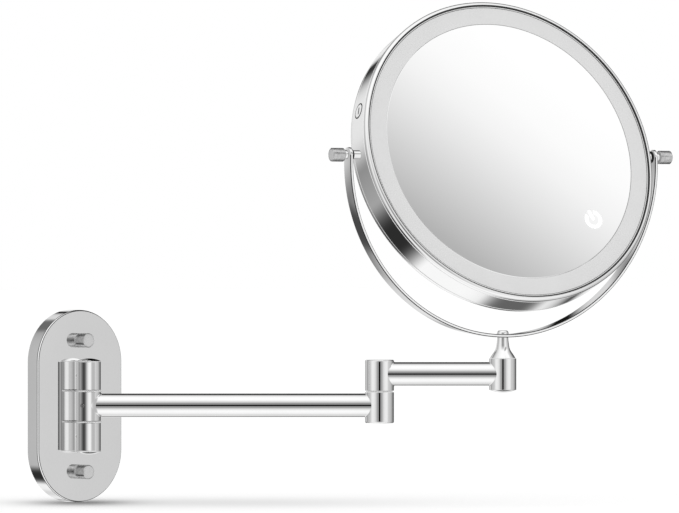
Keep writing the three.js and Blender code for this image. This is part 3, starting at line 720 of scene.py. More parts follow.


# %% [markdown]
# ## Wall plate
#
# The plate is a pressed cap with half-round ends, polished on its face and its wall, with one narrow
# chamfer between them. It starts as a circle whose upper and lower halves are moved apart, which is how
# the straight sides come about. Extruding gives the depth. The front face is then inset and raised for a
# steep chamfer, whose own two edges are just broken and painted near black, painted shade for the dark
# line such an edge shows. The back is inset and pushed in, so the plate is hollow.

# %% Wall plate
EDGE_BREAK = 0.25
SHARP_EDGE = math.radians(20)
PLATE_WALL = 1.5
CHAMFER_ON_FACE = 0.55
CHAMFER_ON_WALL = 1.2


def lowest_face(bm):
    return min(bm.faces, key=lambda face: face.calc_center_median().z)


def extrude_cap(bm, face, move, scale=1.0):
    """Pulls one face out and scales it about the Z axis. Returns the new cap. A lone face stays as bottom."""
    has_sides = all(len(edge.link_faces) > 1 for edge in face.edges)
    pulled = bmesh.ops.extrude_face_region(bm, geom=[face])
    if has_sides:
        bmesh.ops.delete(bm, geom=[face], context="FACES_ONLY")
    verts = [item for item in pulled["geom"] if isinstance(item, bmesh.types.BMVert)]
    faces = [item for item in pulled["geom"] if isinstance(item, bmesh.types.BMFace)]
    bmesh.ops.translate(bm, verts=verts, vec=move)
    if scale != 1.0:
        bmesh.ops.scale(bm, verts=verts, vec=(scale, scale, 1))
    return faces[0]


def darken(faces):
    """Gives faces the second finish, which on chrome is near-black painted shade."""
    for face in faces:
        face.material_index = 1


def stadium(width, height, segments):
    """A face with straight sides and half-round ends, in the XY plane."""
    bm = bmesh.new()
    bmesh.ops.create_circle(bm, cap_ends=True, radius=width / 2, segments=segments)
    rotate(bm, math.pi / segments)
    reach = (height - width) / 2
    for side in (1, -1):
        half = [vert for vert in bm.verts if vert.co.y * side > 0]
        bmesh.ops.translate(bm, verts=half, vec=(0, side * reach, 0))
    return bm


facing_out = local_frame(Vector(), RIGHT, OUT)  # Z grows away from the wall, Y is up
plate_low, plate_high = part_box("base_plate")
plate_width, plate_depth, plate_height = ((plate_high - plate_low) / MM)[:]


def wall_plate():
    bm = stadium(plate_width, plate_height, 2 * FINE_STEPS)
    front = extrude_cap(bm, bm.faces[:][0], (0, 0, plate_depth - CHAMFER_ON_WALL))
    bmesh.ops.recalc_face_normals(bm, faces=bm.faces)
    bmesh.ops.inset_region(
        bm, faces=[front], thickness=CHAMFER_ON_FACE, depth=CHAMFER_ON_WALL, use_even_offset=True)
    back = lowest_face(bm)
    bmesh.ops.inset_region(bm, faces=[back], thickness=PLATE_WALL, use_even_offset=True)
    extrude_cap(bm, back, (0, 0, plate_depth - PLATE_WALL))
    sharp = [edge for edge in bm.edges if edge.calc_face_angle(0) > SHARP_EDGE]
    broken = bmesh.ops.bevel(
        bm, geom=sharp, offset=EDGE_BREAK, offset_type="OFFSET", segments=2, profile=0.5, affect="EDGES",
        clamp_overlap=True, material=-1)
    # The broken edges get the near-black second finish: painted shade.
    darken(broken["faces"])
    return weld(bm)


put(wall_plate(), "wall_plate", facing_out, "base", "chrome", "base_plate")

# %% [markdown]
# ## Knurled heads
#
# The two thumb nuts on the plate and the two knobs at the mirror's sides have straight knurling. A circle
# with twice as many corners as ridges has every second corner pulled in a little; its face is then drawn
# out along the axis, narrower at both ends for the chamfers. The end face is pushed in slightly inside a
# rim.

# %% Knurled heads
RIDGES = 40
RIDGE_DEPTH = 0.28
HEAD_CHAMFER = 0.45
DISH_RIM = 0.7
DISH_DEPTH = 0.18
DISH_TAPER = 0.97
FACING_UP = 0.9


def knurled_head(radius, low, high):
    """A knurled cylinder on the Z axis with a flat, slightly dished face on top."""
    bm = bmesh.new()
    bmesh.ops.create_circle(bm, cap_ends=True, radius=radius, segments=2 * RIDGES)
    valleys = sorted(bm.verts, key=lambda vert: math.atan2(vert.co.y, vert.co.x))[::2]
    pulled_in = 1 - RIDGE_DEPTH / radius
    bmesh.ops.scale(bm, verts=valleys, vec=(pulled_in, pulled_in, 1))
    shift(bm, (0, 0, low))
    narrow = (radius - HEAD_CHAMFER) / radius
    bmesh.ops.scale(bm, verts=bm.verts, vec=(narrow, narrow, 1))
    cap = extrude_cap(bm, bm.faces[:][0], (0, 0, HEAD_CHAMFER), 1 / narrow)
    cap = extrude_cap(bm, cap, (0, 0, high - low - 2 * HEAD_CHAMFER))
    cap = extrude_cap(bm, cap, (0, 0, HEAD_CHAMFER), narrow)
    cap = extrude_cap(bm, cap, (0, 0, 0), (radius - DISH_RIM) / radius / narrow)
    extrude_cap(bm, cap, (0, 0, -DISH_DEPTH), DISH_TAPER)
    weld(bm)
    darken(face for face in bm.faces if face.normal.z > FACING_UP)
    return bm


for end in ("upper", "lower"):
    nut = f"thumb_nut_{end}"
    nut_place = local_frame(joint_place(f"{nut}_turn"), RIGHT, OUT)
    nut_low, nut_high = span(nut, nut_place)
    put(knurled_head(radius_of(nut, nut_place), nut_low, nut_high), f"{nut}_head", nut_place, nut,
        "knurled_chrome", nut)

# %% [markdown]
# ## Hinge
#
# The hinge is one barrel cut in three. The outer knuckles stand on the plate, the middle one turns with
# the arm, and a pale nylon washer a little wider than the barrel fills each slot. Both ends have a
# shallow cap, part of a sphere. A short round foot holds each outer knuckle off the plate, and goes a
# little way into it.

# %% Hinge knuckles, washers and caps
CRISP = 0.12
RIM_SHARE = 0.08
DOME_STEPS = 8
FOOT_RADIUS = 3
FOOT_SINK = 0.6
WASHER_ROUNDING = 0.3
END_FACE = 0.1  # corners this near to the lowest ones lie on the end face
barrel_radius = radius_of("arm_knuckle", hinge, span("arm_knuckle", hinge)[0] + END_FACE)


def plain_barrel(radius, low, high, lower_rounding=CRISP, upper_rounding=CRISP):
    return spun([(0, low), (radius, low, lower_rounding), (radius, high, upper_rounding), (0, high)])


def domed_cap(radius, seat, top):
    """A cap with a short rim and a dome, part of a sphere. It points down when top is below seat."""
    rim = seat + RIM_SHARE * (top - seat)
    rise = top - rim
    sphere = (radius ** 2 + rise ** 2) / (2 * rise)
    widest = math.asin(radius / abs(sphere))
    turns = [widest * step / DOME_STEPS for step in range(DOME_STEPS, 0, -1)]
    arc = [(abs(sphere) * math.sin(turn), top - sphere * (1 - math.cos(turn))) for turn in turns]
    return spun([(0, seat), (radius, seat, CRISP), (*arc[0], CRISP), *arc[1:], (0, top)])


def standing_knuckle(end):
    """An outer knuckle with its foot on the plate."""
    node = f"base_knuckle_{end}"
    low, high = span(node, hinge)
    inside = barrel_radius / 2
    outline = [(0, -FOOT_SINK), (FOOT_RADIUS, -FOOT_SINK), (FOOT_RADIUS, inside), (0, inside)]
    foot = spun(outline, steps=TINY_STEPS)
    on_plate = Vector((0, -plate_depth, (low + high) / 2)) * MM
    bmesh.ops.transform(foot, matrix=hinge.inverted() @ local_frame(on_plate, RIGHT, OUT), verts=foot.verts)
    knuckle = plain_barrel(barrel_radius, low, high)
    join(knuckle, foot)
    return knuckle


for end in ("upper", "lower"):
    put(standing_knuckle(end), f"knuckle_{end}", hinge, "base", "chrome", f"base_knuckle_{end}")
    cap = f"hinge_cap_{end}"
    cap_low, cap_high = span(cap, hinge)
    seat, top = (cap_low, cap_high) if end == "upper" else (cap_high, cap_low)
    put(domed_cap(barrel_radius, seat, top), f"{cap}_dome", hinge, "base", "chrome", cap)
    washer = f"hinge_washer_{end}"
    washer_low, washer_high = span(washer, hinge)
    ring = plain_barrel(radius_of(washer, hinge), washer_low, washer_high, WASHER_ROUNDING, WASHER_ROUNDING)
    put(ring, f"{washer}_ring", hinge, "base", "nylon", washer)

# %% [markdown]
# ## Tubes
#
# A tube meets a barrel of nearly the same radius, and the plating fills the corner with a small fillet.
# Each tube is a circle drawn out along the arm. Its last rings at both ends grow only upwards and
# downwards, along a quarter of a circle, because at the sides tube and barrel already run into each
# other. Every ring is pushed back to lie on the round barrel.

# %% Tubes with fillets at both ends
FILLET = 0.6
STRAIGHTEN = 3  # from a fillet to the tube's first flat ring
TUCK = 0.4  # how far the widest ring goes into the barrel
FILLET_RINGS = 6
TUBE_STEPS = 96


def along_arm(start, line, height):
    """A frame whose Z runs along the arm at a height, with Y level and X upright."""
    return local_frame(start + UP * height * MM, UP, line)


def fitted_tube(radius, length, start_barrel, end_barrel):
    """A tube along Z between two upright barrels, flared in X (upright) where it meets them."""
    bm = bmesh.new()
    bmesh.ops.create_circle(bm, cap_ends=False, radius=radius, segments=TUBE_STEPS)
    turns = [0.5 * math.pi * share / FILLET_RINGS for share in range(FILLET_RINGS + 1)]
    rings = [(FILLET * (1 - math.cos(turn)), FILLET * (1 - math.sin(turn))) for turn in turns]
    stations = [(start_barrel, step, grow) for step, grow in rings]
    flare = FILLET + STRAIGHTEN
    stations += [(0, start_barrel + flare, 0), (0, length - end_barrel - flare, 0)]
    stations += [(-end_barrel, -step, grow) for step, grow in reversed(rings)]
    edges = bm.edges[:]
    verts = bm.verts[:]
    for number, (barrel, step, grow) in enumerate(stations):
        if number:
            pulled = bmesh.ops.extrude_edge_only(bm, edges=edges)["geom"]
            edges = [item for item in pulled if isinstance(item, bmesh.types.BMEdge)]
            verts = [item for item in pulled if isinstance(item, bmesh.types.BMVert)]
        for vert in verts:
            around = math.atan2(vert.co.y, vert.co.x)
            side = radius * math.sin(around)
            follow = math.copysign(math.sqrt(max(barrel * barrel - side * side, 0.0)), barrel)
            from_end = length if barrel < 0 else 0
            if step == 0:
                follow -= math.copysign(TUCK, barrel)
            vert.co = ((radius + grow) * math.cos(around), side, from_end + follow + step)
    bmesh.ops.holes_fill(bm, edges=[edge for edge in bm.edges if edge.is_boundary])
    return weld(bm)


elbow_radius = radius_of("elbow_cap_lower", elbow)
end_radius = radius_of("end_cap", swivel)
lower_span = span("lower_arm_tube", hinge)
upper_span = span("upper_arm_tube", hinge)
tube_radius = (lower_span[1] - lower_span[0]) / 2
lower_tube = fitted_tube(tube_radius, (elbow_axis - hinge_axis).length / MM, barrel_radius, elbow_radius)
put(lower_tube, "lower_tube", along_arm(hinge_axis, arm_line, sum(lower_span) / 2), "lower_arm", "chrome",
    "lower_arm_tube")
upper_tube = fitted_tube(tube_radius, (swivel_axis - elbow_axis).length / MM, elbow_radius, end_radius)
put(upper_tube, "upper_tube", along_arm(elbow_axis, fore_line, sum(upper_span) / 2), "upper_arm", "chrome",
    "upper_arm_tube")

# %% [markdown]
# The middle knuckle is a plain barrel again. A small set screw holds the pin, and shows as a bright dot
# beside the tube. It is turned with a socket in its face.

# %% Middle knuckle and set screw
knuckle_low, knuckle_high = span("arm_knuckle", hinge)
put(plain_barrel(barrel_radius, knuckle_low, knuckle_high), "knuckle_middle", hinge, "lower_arm", "chrome",
    "arm_knuckle")

screw_centre = centre_of("arm_set_screw")
screw_line = (screw_centre - hinge_axis - UP * screw_centre.z).normalized()
screw_place = local_frame(hinge_axis + UP * screw_centre.z, UP, screw_line)
SCREW_PROUD = 0.25
SCREW_ROUNDING = 0.35
SOCKET_RADIUS = 0.75
SOCKET_ROUNDING = 0.08
SOCKET_DEPTH = (0.8, 1.1)  # at its wall and in its middle


def set_screw():
    radius = radius_of("arm_set_screw", screw_place)
    low = span("arm_set_screw", screw_place)[0]
    top = barrel_radius + SCREW_PROUD
    return spun([
        (0, low), (radius, low), (radius, top, SCREW_ROUNDING), (SOCKET_RADIUS, top, SOCKET_ROUNDING),
        (SOCKET_RADIUS, top - SOCKET_DEPTH[0]), (0, top - SOCKET_DEPTH[1])], steps=TINY_STEPS)


put(set_screw(), "set_screw", screw_place, "lower_arm", "satin_steel", "arm_set_screw")

# %% [markdown]
# ## Elbow and end barrel
#
# The elbow is two barrels, one over the other, that turn on a bolt; a thin nylon washer between them leaves
# a narrow seam. Each half ends in a flat cap with a soft edge. The end barrel carries the yoke's swivel and
# has a shallow cap below.

# %% Elbow
WASHER_INSET = 0.8
SEAM_ROUNDING = 0.12
CAP_ROUNDING = 0.9
HAIRLINE = 0.04  # where a cap is pressed on and its joint hardly shows

for half, body, low_edge, high_edge in (
        ("lower", "lower_arm", HAIRLINE, SEAM_ROUNDING), ("upper", "upper_arm", SEAM_ROUNDING, HAIRLINE)):
    node = f"elbow_barrel_{half}"
    put(plain_barrel(elbow_radius, *span(node, elbow), low_edge, high_edge), f"elbow_{half}", elbow, body,
        "chrome", node)
put(plain_barrel(elbow_radius - WASHER_INSET, *span("elbow_washer", elbow)), "elbow_washer_disc", elbow,
    "upper_arm", "nylon", "elbow_washer")
below = (span("elbow_cap_lower", elbow)[0], span("elbow_barrel_lower", elbow)[0])
put(plain_barrel(elbow_radius, *below, CAP_ROUNDING, HAIRLINE), "elbow_cap_below", elbow, "lower_arm",
    "chrome", "elbow_cap_lower")
above = (span("elbow_barrel_upper", elbow)[1], span("elbow_cap_upper", elbow)[1])
put(plain_barrel(elbow_radius, *above, HAIRLINE, CAP_ROUNDING), "elbow_cap_above", elbow, "upper_arm",
    "chrome", "elbow_cap_upper")

# %% End barrel
END_ROUNDING = 0.3

end_low, end_high = span("end_barrel", swivel)
put(plain_barrel(end_radius, end_low, end_high, HAIRLINE, END_ROUNDING), "end_barrel_shell", swivel,
    "upper_arm", "chrome", "end_barrel")
put(domed_cap(end_radius, end_low, span("end_cap", swivel)[0]), "end_cap_dome", swivel, "upper_arm", "chrome",
    "end_cap")

# %% [markdown]
# ## Swivel neck
#
# The neck narrows from the end barrel up to the yoke in one hollow curve. Its radius at each height is read
# from the CAD, and the vertex bevel turns the short straight runs of the outline into a smooth curve.

# %% Swivel neck
THINNEST_NECK = 3
NECK_ROUNDING = 1.0
FOOT_ROUNDING = 0.1
TOP_ROUNDING = 0.15


def outline_of(node, place, above, thinnest):
    """Radius at each height of a turned CAD node, from a height up. What is thinner is a hole inside it."""
    widest = {}
    for corner in corners(node, place):
        key = round(corner.z, 2)
        if key >= above:
            widest[key] = max(widest.get(key, 0), corner.xy.length)
    return [(widest[key], key) for key in sorted(widest) if widest[key] > thinnest]


def neck():
    (foot_radius, foot), *middle, (top_radius, top) = outline_of("swivel_neck", yoke, end_high, THINNEST_NECK)
    curve = [(radius, height, NECK_ROUNDING) for radius, height in middle]
    return spun([
        (0, foot), (foot_radius, foot, FOOT_ROUNDING), *curve, (top_radius, top, TOP_ROUNDING), (0, top)])


put(neck(), "neck", yoke, "yoke", "chrome", "swivel_neck")

# %% [markdown]
# ## Yoke
#
# The yoke is a flat strip bent to a half circle. A small rectangle with bevelled corners is spun a
# quarter turn, drawn straight up to the knob's axis, and rounded off by drawing it out in ever narrower
# steps. Mirroring that half gives the other. The bevels run along the strip's edges, and below the knob's
# axis they are painted near black: painted shade that shows as dark lines.

# %% Yoke strip
YOKE_STEPS = 96
TIP_STEPS = 10
TIP_BLUNT = 0.25  # keeps the last step from narrowing to nothing
STRIP_THICKNESS = 2.1
STRIP_EDGE = 0.5
EDGE_SLANT = (0.15, 0.95)  # how far a rounded edge's faces lean, between the flat sides

strip_low = [span("yoke_strip", yoke, axis)[0] for axis in range(3)]
strip_high = [span("yoke_strip", yoke, axis)[1] for axis in range(3)]
strip_width = strip_high[1] - strip_low[1]
yoke_outside = strip_high[0]
knob_height = pivot.z / MM
yoke_centre = strip_low[2] + yoke_outside


def half_strip():
    bm = bmesh.new()
    bmesh.ops.create_grid(bm, x_segments=1, y_segments=1, size=0.5)
    bmesh.ops.scale(bm, verts=bm.verts, vec=(STRIP_THICKNESS, strip_width, 1))
    bmesh.ops.bevel(
        bm, geom=bm.verts[:], offset=STRIP_EDGE, offset_type="OFFSET", segments=2, profile=0.5,
        affect="VERTICES", material=-1)
    rotate(bm, math.radians(90), "Y")
    shift(bm, (0, 0, -yoke_outside + STRIP_THICKNESS / 2))
    swept = spin(bm, -math.pi / 2, YOKE_STEPS, axis=(0, 1, 0))
    face = next(item for item in swept["geom_last"] if isinstance(item, bmesh.types.BMFace))
    face = extrude_cap(bm, face, (0, 0, knob_height - yoke_centre))
    reached, narrowed = 0.0, 1.0
    for step in range(1, TIP_STEPS + 1):
        turn = 0.5 * math.pi * step / (TIP_STEPS + TIP_BLUNT)
        rise = strip_width / 2 * math.sin(turn)
        face = extrude_cap(bm, face, (0, 0, rise - reached))
        bmesh.ops.scale(bm, verts=face.verts[:], vec=(1, math.cos(turn) / narrowed, 1))
        reached, narrowed = rise, math.cos(turn)
    return bm


def yoke_strip():
    bm = half_strip()
    bmesh.ops.remove_doubles(bm, verts=bm.verts, dist=WELD)
    first = [face for face in bm.faces if all(abs(vert.co.x) < WELD for vert in face.verts)]
    bmesh.ops.delete(bm, geom=first, context="FACES_ONLY")
    bmesh.ops.mirror(bm, geom=bm.verts[:] + bm.edges[:] + bm.faces[:], axis="X", merge_dist=WELD)
    weld(bm)
    slanting = [face for face in bm.faces if EDGE_SLANT[0] < abs(face.normal.y) < EDGE_SLANT[1]]
    # Below the knob's axis the slanting edge faces get painted shade, the near-black second finish.
    darken(face for face in slanting if face.calc_center_median().z < knob_height - yoke_centre)
    return bm


yoke_bow = local_frame(swivel_axis + UP * yoke_centre * MM, knob_line, UP)
put(yoke_strip(), "yoke_bow", yoke_bow, "yoke", "chrome", "yoke_strip")

# %% Yoke screw
HEAD_ROUNDINGS = (0.15, 0.5, 0.1)  # at the seat, on the crown and round the socket
HEAD_LIFT = 0.1
HEAD_SIDE = 1.2
CROWN_SHARE = 0.78
KEY_RADIUS = 1.3
KEY_DEPTH = (1.1, 1.3)  # at its wall and in its middle

screw_high = span("yoke_screw", yoke)[1]
screw_head_radius = radius_of("yoke_screw", yoke)


def pan_head():
    low = strip_low[2] + STRIP_THICKNESS + HEAD_LIFT
    seat, crown, socket = HEAD_ROUNDINGS
    return spun([
        (0, low), (screw_head_radius, low, seat), (screw_head_radius, low + HEAD_SIDE, crown),
        (CROWN_SHARE * screw_head_radius, screw_high, crown), (KEY_RADIUS, screw_high, socket),
        (KEY_RADIUS, screw_high - KEY_DEPTH[0]), (0, screw_high - KEY_DEPTH[1])], steps=SMALL_STEPS)


put(pan_head(), "yoke_screw_head", yoke, "yoke", "chrome", "yoke_screw")

# %% [markdown]
# ## Mirror head
#
# The head is a drum between two bezels. Every ring is an outline spun once, finely, because it fills most
# of the view. Each bezel is a rolled lip: round at its outer corner, with a narrow flat front. A hairline
# groove parts it from the band. Inside the lip a black ring slopes down to the lit ring: painted shade for
# the shadowed recess between lip and glass. A fine bright wire lies on its inner edge.

# %% Sizes of the head
drum_radius = radius_of("drum_band", head)
drum_front = span("front_bezel", head)[1]
drum_back = span("back_bezel", head)[0]
glass_low, glass_high = span("front_mirror", head)
glass_radius = radius_of("front_mirror", head)
back_glass_radius = radius_of("back_mirror", head)
back_glass_low = span("back_mirror", head)[0]
print("drum from", round(drum_back, 1), "to", round(drum_front, 1), "mm")


def ring(outline):
    """A fine ring of the head, from a closed outline."""
    return spun(outline, closed=True, steps=RING_STEPS)


# %% Drum band and bezels
BAND_WALL = 1.2
GROOVE = 0.4
GROOVE_DEPTH = 0.6
OUTER_ROLL = 2.0
LIP_WIDTH = 2.4
LIP_EDGE = 0.15
LIP_ROOT = 0.6  # how far below the glass the lip goes before it widens inwards
LIP_SHELF = 0.3
SEAT_OVERLAP = 0.3
MOUTH_ROUNDING = 0.1

lip_inside = drum_radius - LIP_WIDTH


def band():
    low, high = span("drum_band", head)
    inside = drum_radius - BAND_WALL
    return ring([(drum_radius, low, CRISP), (drum_radius, high, CRISP), (inside, high), (inside, low)])


def bezel(face, seat, inner_face):
    """A rolled lip. The back one is the same, drawn downwards."""
    way = 1 if face > seat else -1
    floor_radius = drum_radius - GROOVE_DEPTH
    inside, mouth = lip_inside - LIP_SHELF, seat + way * GROOVE
    root, start = inner_face - way * LIP_ROOT, seat - way * SEAT_OVERLAP
    return ring([
        (floor_radius, start), (floor_radius, mouth), (drum_radius, mouth, MOUTH_ROUNDING),
        (drum_radius, face, OUTER_ROLL), (lip_inside, face, LIP_EDGE), (lip_inside, root), (inside, root),
        (inside, start)])


# %% Rings of painted shade and the bright wire
SHADE_RING_WIDTH = 1.1
SHADE_RING_OVERLAP = 0.05
SHADE_RING_START = 0.12  # how far below the lip's face the slope starts, and how far above the glass it ends
SHADE_RING_END = 0.08
SHADE_RING_DEPTH = 0.4
SHADE_RING_ROUNDINGS = (0.1, 0.05)
BEAD_RADIUS = 0.24
BEAD_SINK = 0.05
BEAD_HEIGHT = 0.45
BEAD_ROUNDING = 0.2
BEAD_GAP = 0.3
BACK_FACE_INSET = 1.2
BACK_SHADE_RING_OVERLAP = 1


def shade_ring(face, inner_face, inside):
    """A black ring between lip and glass, painted shade for the recess: it slopes down from the lip, then
    lies flat.
    """
    way = 1 if face > inner_face else -1
    outside, slope_end = lip_inside + SHADE_RING_OVERLAP, lip_inside - SHADE_RING_WIDTH
    flat, root = inner_face + way * SHADE_RING_END, inner_face - way * SHADE_RING_DEPTH
    return ring([
        (outside, face - way * SHADE_RING_START), (slope_end, flat, SHADE_RING_ROUNDINGS[0]),
        (inside, flat, SHADE_RING_ROUNDINGS[1]), (inside, root), (outside, root)])


def bead(inner_face):
    """A bright wire that lies on the ring of painted shade, round the lit ring."""
    middle = lip_inside - SHADE_RING_WIDTH - BEAD_RADIUS
    inside, outside = middle - BEAD_RADIUS, middle + BEAD_RADIUS
    low = inner_face - BEAD_SINK
    high = low + BEAD_HEIGHT
    return ring([
        (inside, low), (inside, high, BEAD_ROUNDING), (outside, high, BEAD_ROUNDING), (outside, low)])


shade_ring_inside = lip_inside - SHADE_RING_WIDTH - 2 * BEAD_RADIUS - BEAD_GAP
back_face = drum_back + BACK_FACE_INSET
front_seat, back_seat = span("front_bezel", head)[0], span("back_bezel", head)[1]
put(band(), "drum", head, "mirror_head", "chrome", "drum_band")
put(bezel(drum_front, front_seat, glass_high), "bezel_front", head, "mirror_head", "chrome", "front_bezel")
put(bezel(drum_back, back_seat, back_face), "bezel_back", head, "mirror_head", "chrome", "back_bezel")
# Black rings in the recesses between lips and glass: painted shade.
put(shade_ring(drum_front, glass_high, shade_ring_inside), "seal_front", head, "mirror_head", "black_plastic")
put(shade_ring(drum_back, back_face, back_glass_radius - BACK_SHADE_RING_OVERLAP), "seal_back", head, "mirror_head",
    "black_plastic")
put(bead(glass_high), "bead_front", head, "mirror_head", "chrome")

# %% [markdown]
# The mirror glass has a fine ground edge, and lies in a frosted ring that the diodes light from behind.
# The back glass is a shallow bowl that magnifies.

# %% Glass and the lit ring
GROUND_EDGE = 0.5
GLASS_ROUNDING = 0.1
RING_GAP = 0.12
RING_SINK = 0.05

glass_outline = [
    (0, glass_low), (glass_radius, glass_low, GLASS_ROUNDING), (glass_radius, glass_high, GROUND_EDGE),
    (0, glass_high)]
put(spun(glass_outline, steps=RING_STEPS), "glass_front", head, "mirror_head", "mirror_glass", "front_mirror")


def lit_ring():
    low, high = span("diffuser_ring", head)
    inside, outside, face = glass_radius + RING_GAP, radius_of("diffuser_ring", head), high - RING_SINK
    return ring([
        (inside, low), (inside, face, GLASS_ROUNDING), (outside, face, GLASS_ROUNDING), (outside, low)])


put(lit_ring(), "lit_ring", head, "mirror_head", "diffuser", "diffuser_ring")

# %% Magnifying glass
BOWL_RINGS = 12
BOWL_RIM = 2
BOWL_SAG = 5
BOWL_THICKNESS = 3
BOWL_ROUNDING = 0.2


def bowl():
    """The magnifying glass: dished towards the back, with a flat rim."""
    rim = back_glass_radius - BOWL_RIM
    shares = [step / BOWL_RINGS for step in range(BOWL_RINGS + 1)]
    dish = [(rim * share, back_glass_low + BOWL_SAG * (1 - share ** 2)) for share in shares]
    inner = back_glass_low + BOWL_THICKNESS
    return spun([
        *dish, (back_glass_radius, back_glass_low, BOWL_ROUNDING), (back_glass_radius, inner),
        (0, inner + BOWL_SAG)], steps=RING_STEPS)


put(bowl(), "glass_back", head, "mirror_head", "mirror_glass", "back_mirror")

# %% [markdown]
# ## Side knobs
#
# On each side a knurled knob clamps the yoke against a washer and a spacer on the drum. Next to the yoke,
# a band of the neck and the outer ends of the washer and the spacer get painted shade: the near-black
# second finish.

# %% Side knobs, washers and spacers
# How wide the bands of painted shade are.
PAINTED_SHADE_COLLAR = 1.3
KNOB_HEAD = 9
NECK_RADIUS = 3.0
NECK_START = 0.3  # from the yoke, and from there on to the head with a narrower throat
THROAT = (0.5, 0.6, 0.2)  # how much narrower, where it starts before the head, and how far it goes in
SHANK_RADIUS = 2
SHANK_SINK = 2
SHANK_ROUNDINGS = (0.4, 0.3, 0.2)


def shank(head_start):
    """The screw and neck of a knob, in one outline."""
    low, step = drum_radius - SHANK_SINK, yoke_outside + NECK_START
    throat, throat_start, throat_end = NECK_RADIUS - THROAT[0], head_start - THROAT[1], head_start + THROAT[2]
    foot, shoulder, root = SHANK_ROUNDINGS
    return spun([
        (0, low), (SHANK_RADIUS, low), (SHANK_RADIUS, step), (NECK_RADIUS, step, foot),
        (NECK_RADIUS, throat_start, shoulder), (throat, throat_start, root), (throat, throat_end),
        (0, throat_end)], steps=SMALL_STEPS)


def with_painted_shade(bm, low, high):
    """Paints shade, the near-black second finish, on what lies between two heights."""
    darken(face for face in bm.faces if low <= face.calc_center_median().z <= high)
    return bm


for side, facing in (("right", 1), ("left", -1)):
    side_place = local_frame(pivot, mirror_faces, knob_line * facing)
    knob, body = f"side_knob_{side}", f"knob_{side}"
    knob_end = span(knob, side_place)[1]
    head_start = knob_end - KNOB_HEAD
    put(knurled_head(radius_of(knob, side_place), head_start, knob_end), f"{knob}_head", side_place, body,
        "knurled_chrome", knob)
    neck_piece = with_painted_shade(shank(head_start), yoke_outside, yoke_outside + PAINTED_SHADE_COLLAR)
    put(neck_piece, f"{knob}_neck", side_place, body, "chrome")
    for part, rounding in (("tilt_washer", 0.2), ("pivot_spacer", 0.5)):
        node = f"{part}_{side}"
        low, high = span(node, side_place)
        barrel = plain_barrel(radius_of(node, side_place), low, high, rounding, rounding)
        with_painted_shade(barrel, high - PAINTED_SHADE_COLLAR, high)
        put(barrel, f"{node}_ring", side_place, "mirror_head", "chrome", node)

# %% [markdown]
# ## Charging inlet
#
# A round insert in the band, just above the left knob, holds the charging inlet: a small upright slot.

# %% Charging inlet
INSERT_RADIUS = 5.4
INSERT_PROUD = 0.22
INSERT_STEP = 0.12
INSERT_DEPTH = 1
RIM_RISE = (0.9, 0.8)  # from the insert's edge to the foot and the top of its raised rim
PAINTED_SHADE_RIM = 0.7
RIM_ROUNDINGS = (0.05, 0.1)
SLOT_SIZE = (1.3, 5.2)
SLOT_DEPTH = 0.4
SLOT_SINK = 0.45
SLOT_STEPS = 24

port_line = (centre_of("charge_port") - pivot).normalized()
port_line = (port_line - port_line.project(mirror_faces)).normalized()
port_place = local_frame(pivot, mirror_faces, port_line)
insert_top = drum_radius + INSERT_PROUD


def insert_disc():
    floor_height, low = insert_top - INSERT_STEP, insert_top - INSERT_DEPTH
    foot, rim = (INSERT_RADIUS - rise for rise in RIM_RISE)
    fine, soft = RIM_ROUNDINGS
    disc = spun([
        (0, floor_height), (foot, floor_height, fine), (rim, insert_top, fine),
        (INSERT_RADIUS, insert_top, soft), (INSERT_RADIUS, low), (0, low)], steps=SMALL_STEPS)
    # The outer rim of the insert gets painted shade, the near-black second finish, for its dark outline.
    darken(face for face in disc.faces if face.calc_center_median().xy.length > INSERT_RADIUS - PAINTED_SHADE_RIM)
    return disc


def slot_block():
    bm = stadium(*SLOT_SIZE, SLOT_STEPS)
    extrude_cap(bm, bm.faces[:][0], (0, 0, SLOT_DEPTH))
    shift(bm, (0, 0, insert_top - SLOT_SINK))
    return weld(bm)


put(insert_disc(), "port_insert", port_place, "mirror_head", "chrome")
put(slot_block(), "port_slot", port_place, "mirror_head", "black_plastic")

# %% [markdown]
# ## Touch switch
#
# A power mark is etched through the silvering over the touch switch, and glows. It is an open ring with a
# bar in its gap, a thin film of its own. The glass round it glows faintly too, so a second film, thinner
# still, carries a white glow that fades with the distance from the mark.

# %% Power mark
MARK_RADIUS = 5.1
MARK_STROKE = 2.5
MARK_STEPS = 64
MARK_GAP = math.radians(64)
MARK_TURN = math.radians(22)
BAR_SHARE = 0.62  # where the bar's middle is, between the ring's centre and the ring
BAR_STEPS = 16
FILM = 0.04
mark_centre = head.inverted() @ centre_of("touch_sensor")
mark_spot = Vector((mark_centre.x, mark_centre.y, glass_high))


def power_mark():
    bm = outline_chain([(MARK_RADIUS - MARK_STROKE / 2, 0), (MARK_RADIUS + MARK_STROKE / 2, 0)])
    rotate(bm, math.pi / 2 + MARK_GAP / 2)
    spin(bm, 2 * math.pi - MARK_GAP, MARK_STEPS)
    bar = stadium(MARK_STROKE, MARK_RADIUS + MARK_STROKE, BAR_STEPS)
    shift(bar, (0, MARK_RADIUS * BAR_SHARE, 0))
    join(bm, bar)
    rotate(bm, MARK_TURN)
    shift(bm, mark_spot)
    bmesh.ops.recalc_face_normals(bm, faces=bm.faces)
    bmesh.ops.solidify(bm, geom=bm.faces[:], thickness=FILM)
    return weld(bm)


# %% Glow round the mark
HALO_RADIUS = 8
HALO_CORE = 5
HALO_STRENGTH = 0.22


def halo_material():
    """A white glow that fades with the distance from the mark."""
    material, add_node, _ = empty_material("mark_halo")
    reach = distance(add_node, add_node("ShaderNodeTexCoord").outputs["Object"], head @ mark_spot)
    surface = add_node("ShaderNodeBsdfPrincipled", {
        "Base Color": (0, 0, 0, 1), "Specular IOR Level": 0,
        "Emission Color": (1, 1, 1, 1), "Emission Strength": 1.0,
        "Alpha": smooth_step(add_node, reach, HALO_RADIUS * MM, HALO_CORE * MM, HALO_STRENGTH),
    })
    add_node("ShaderNodeOutputMaterial", {"Surface": surface.outputs[0]})
    return material


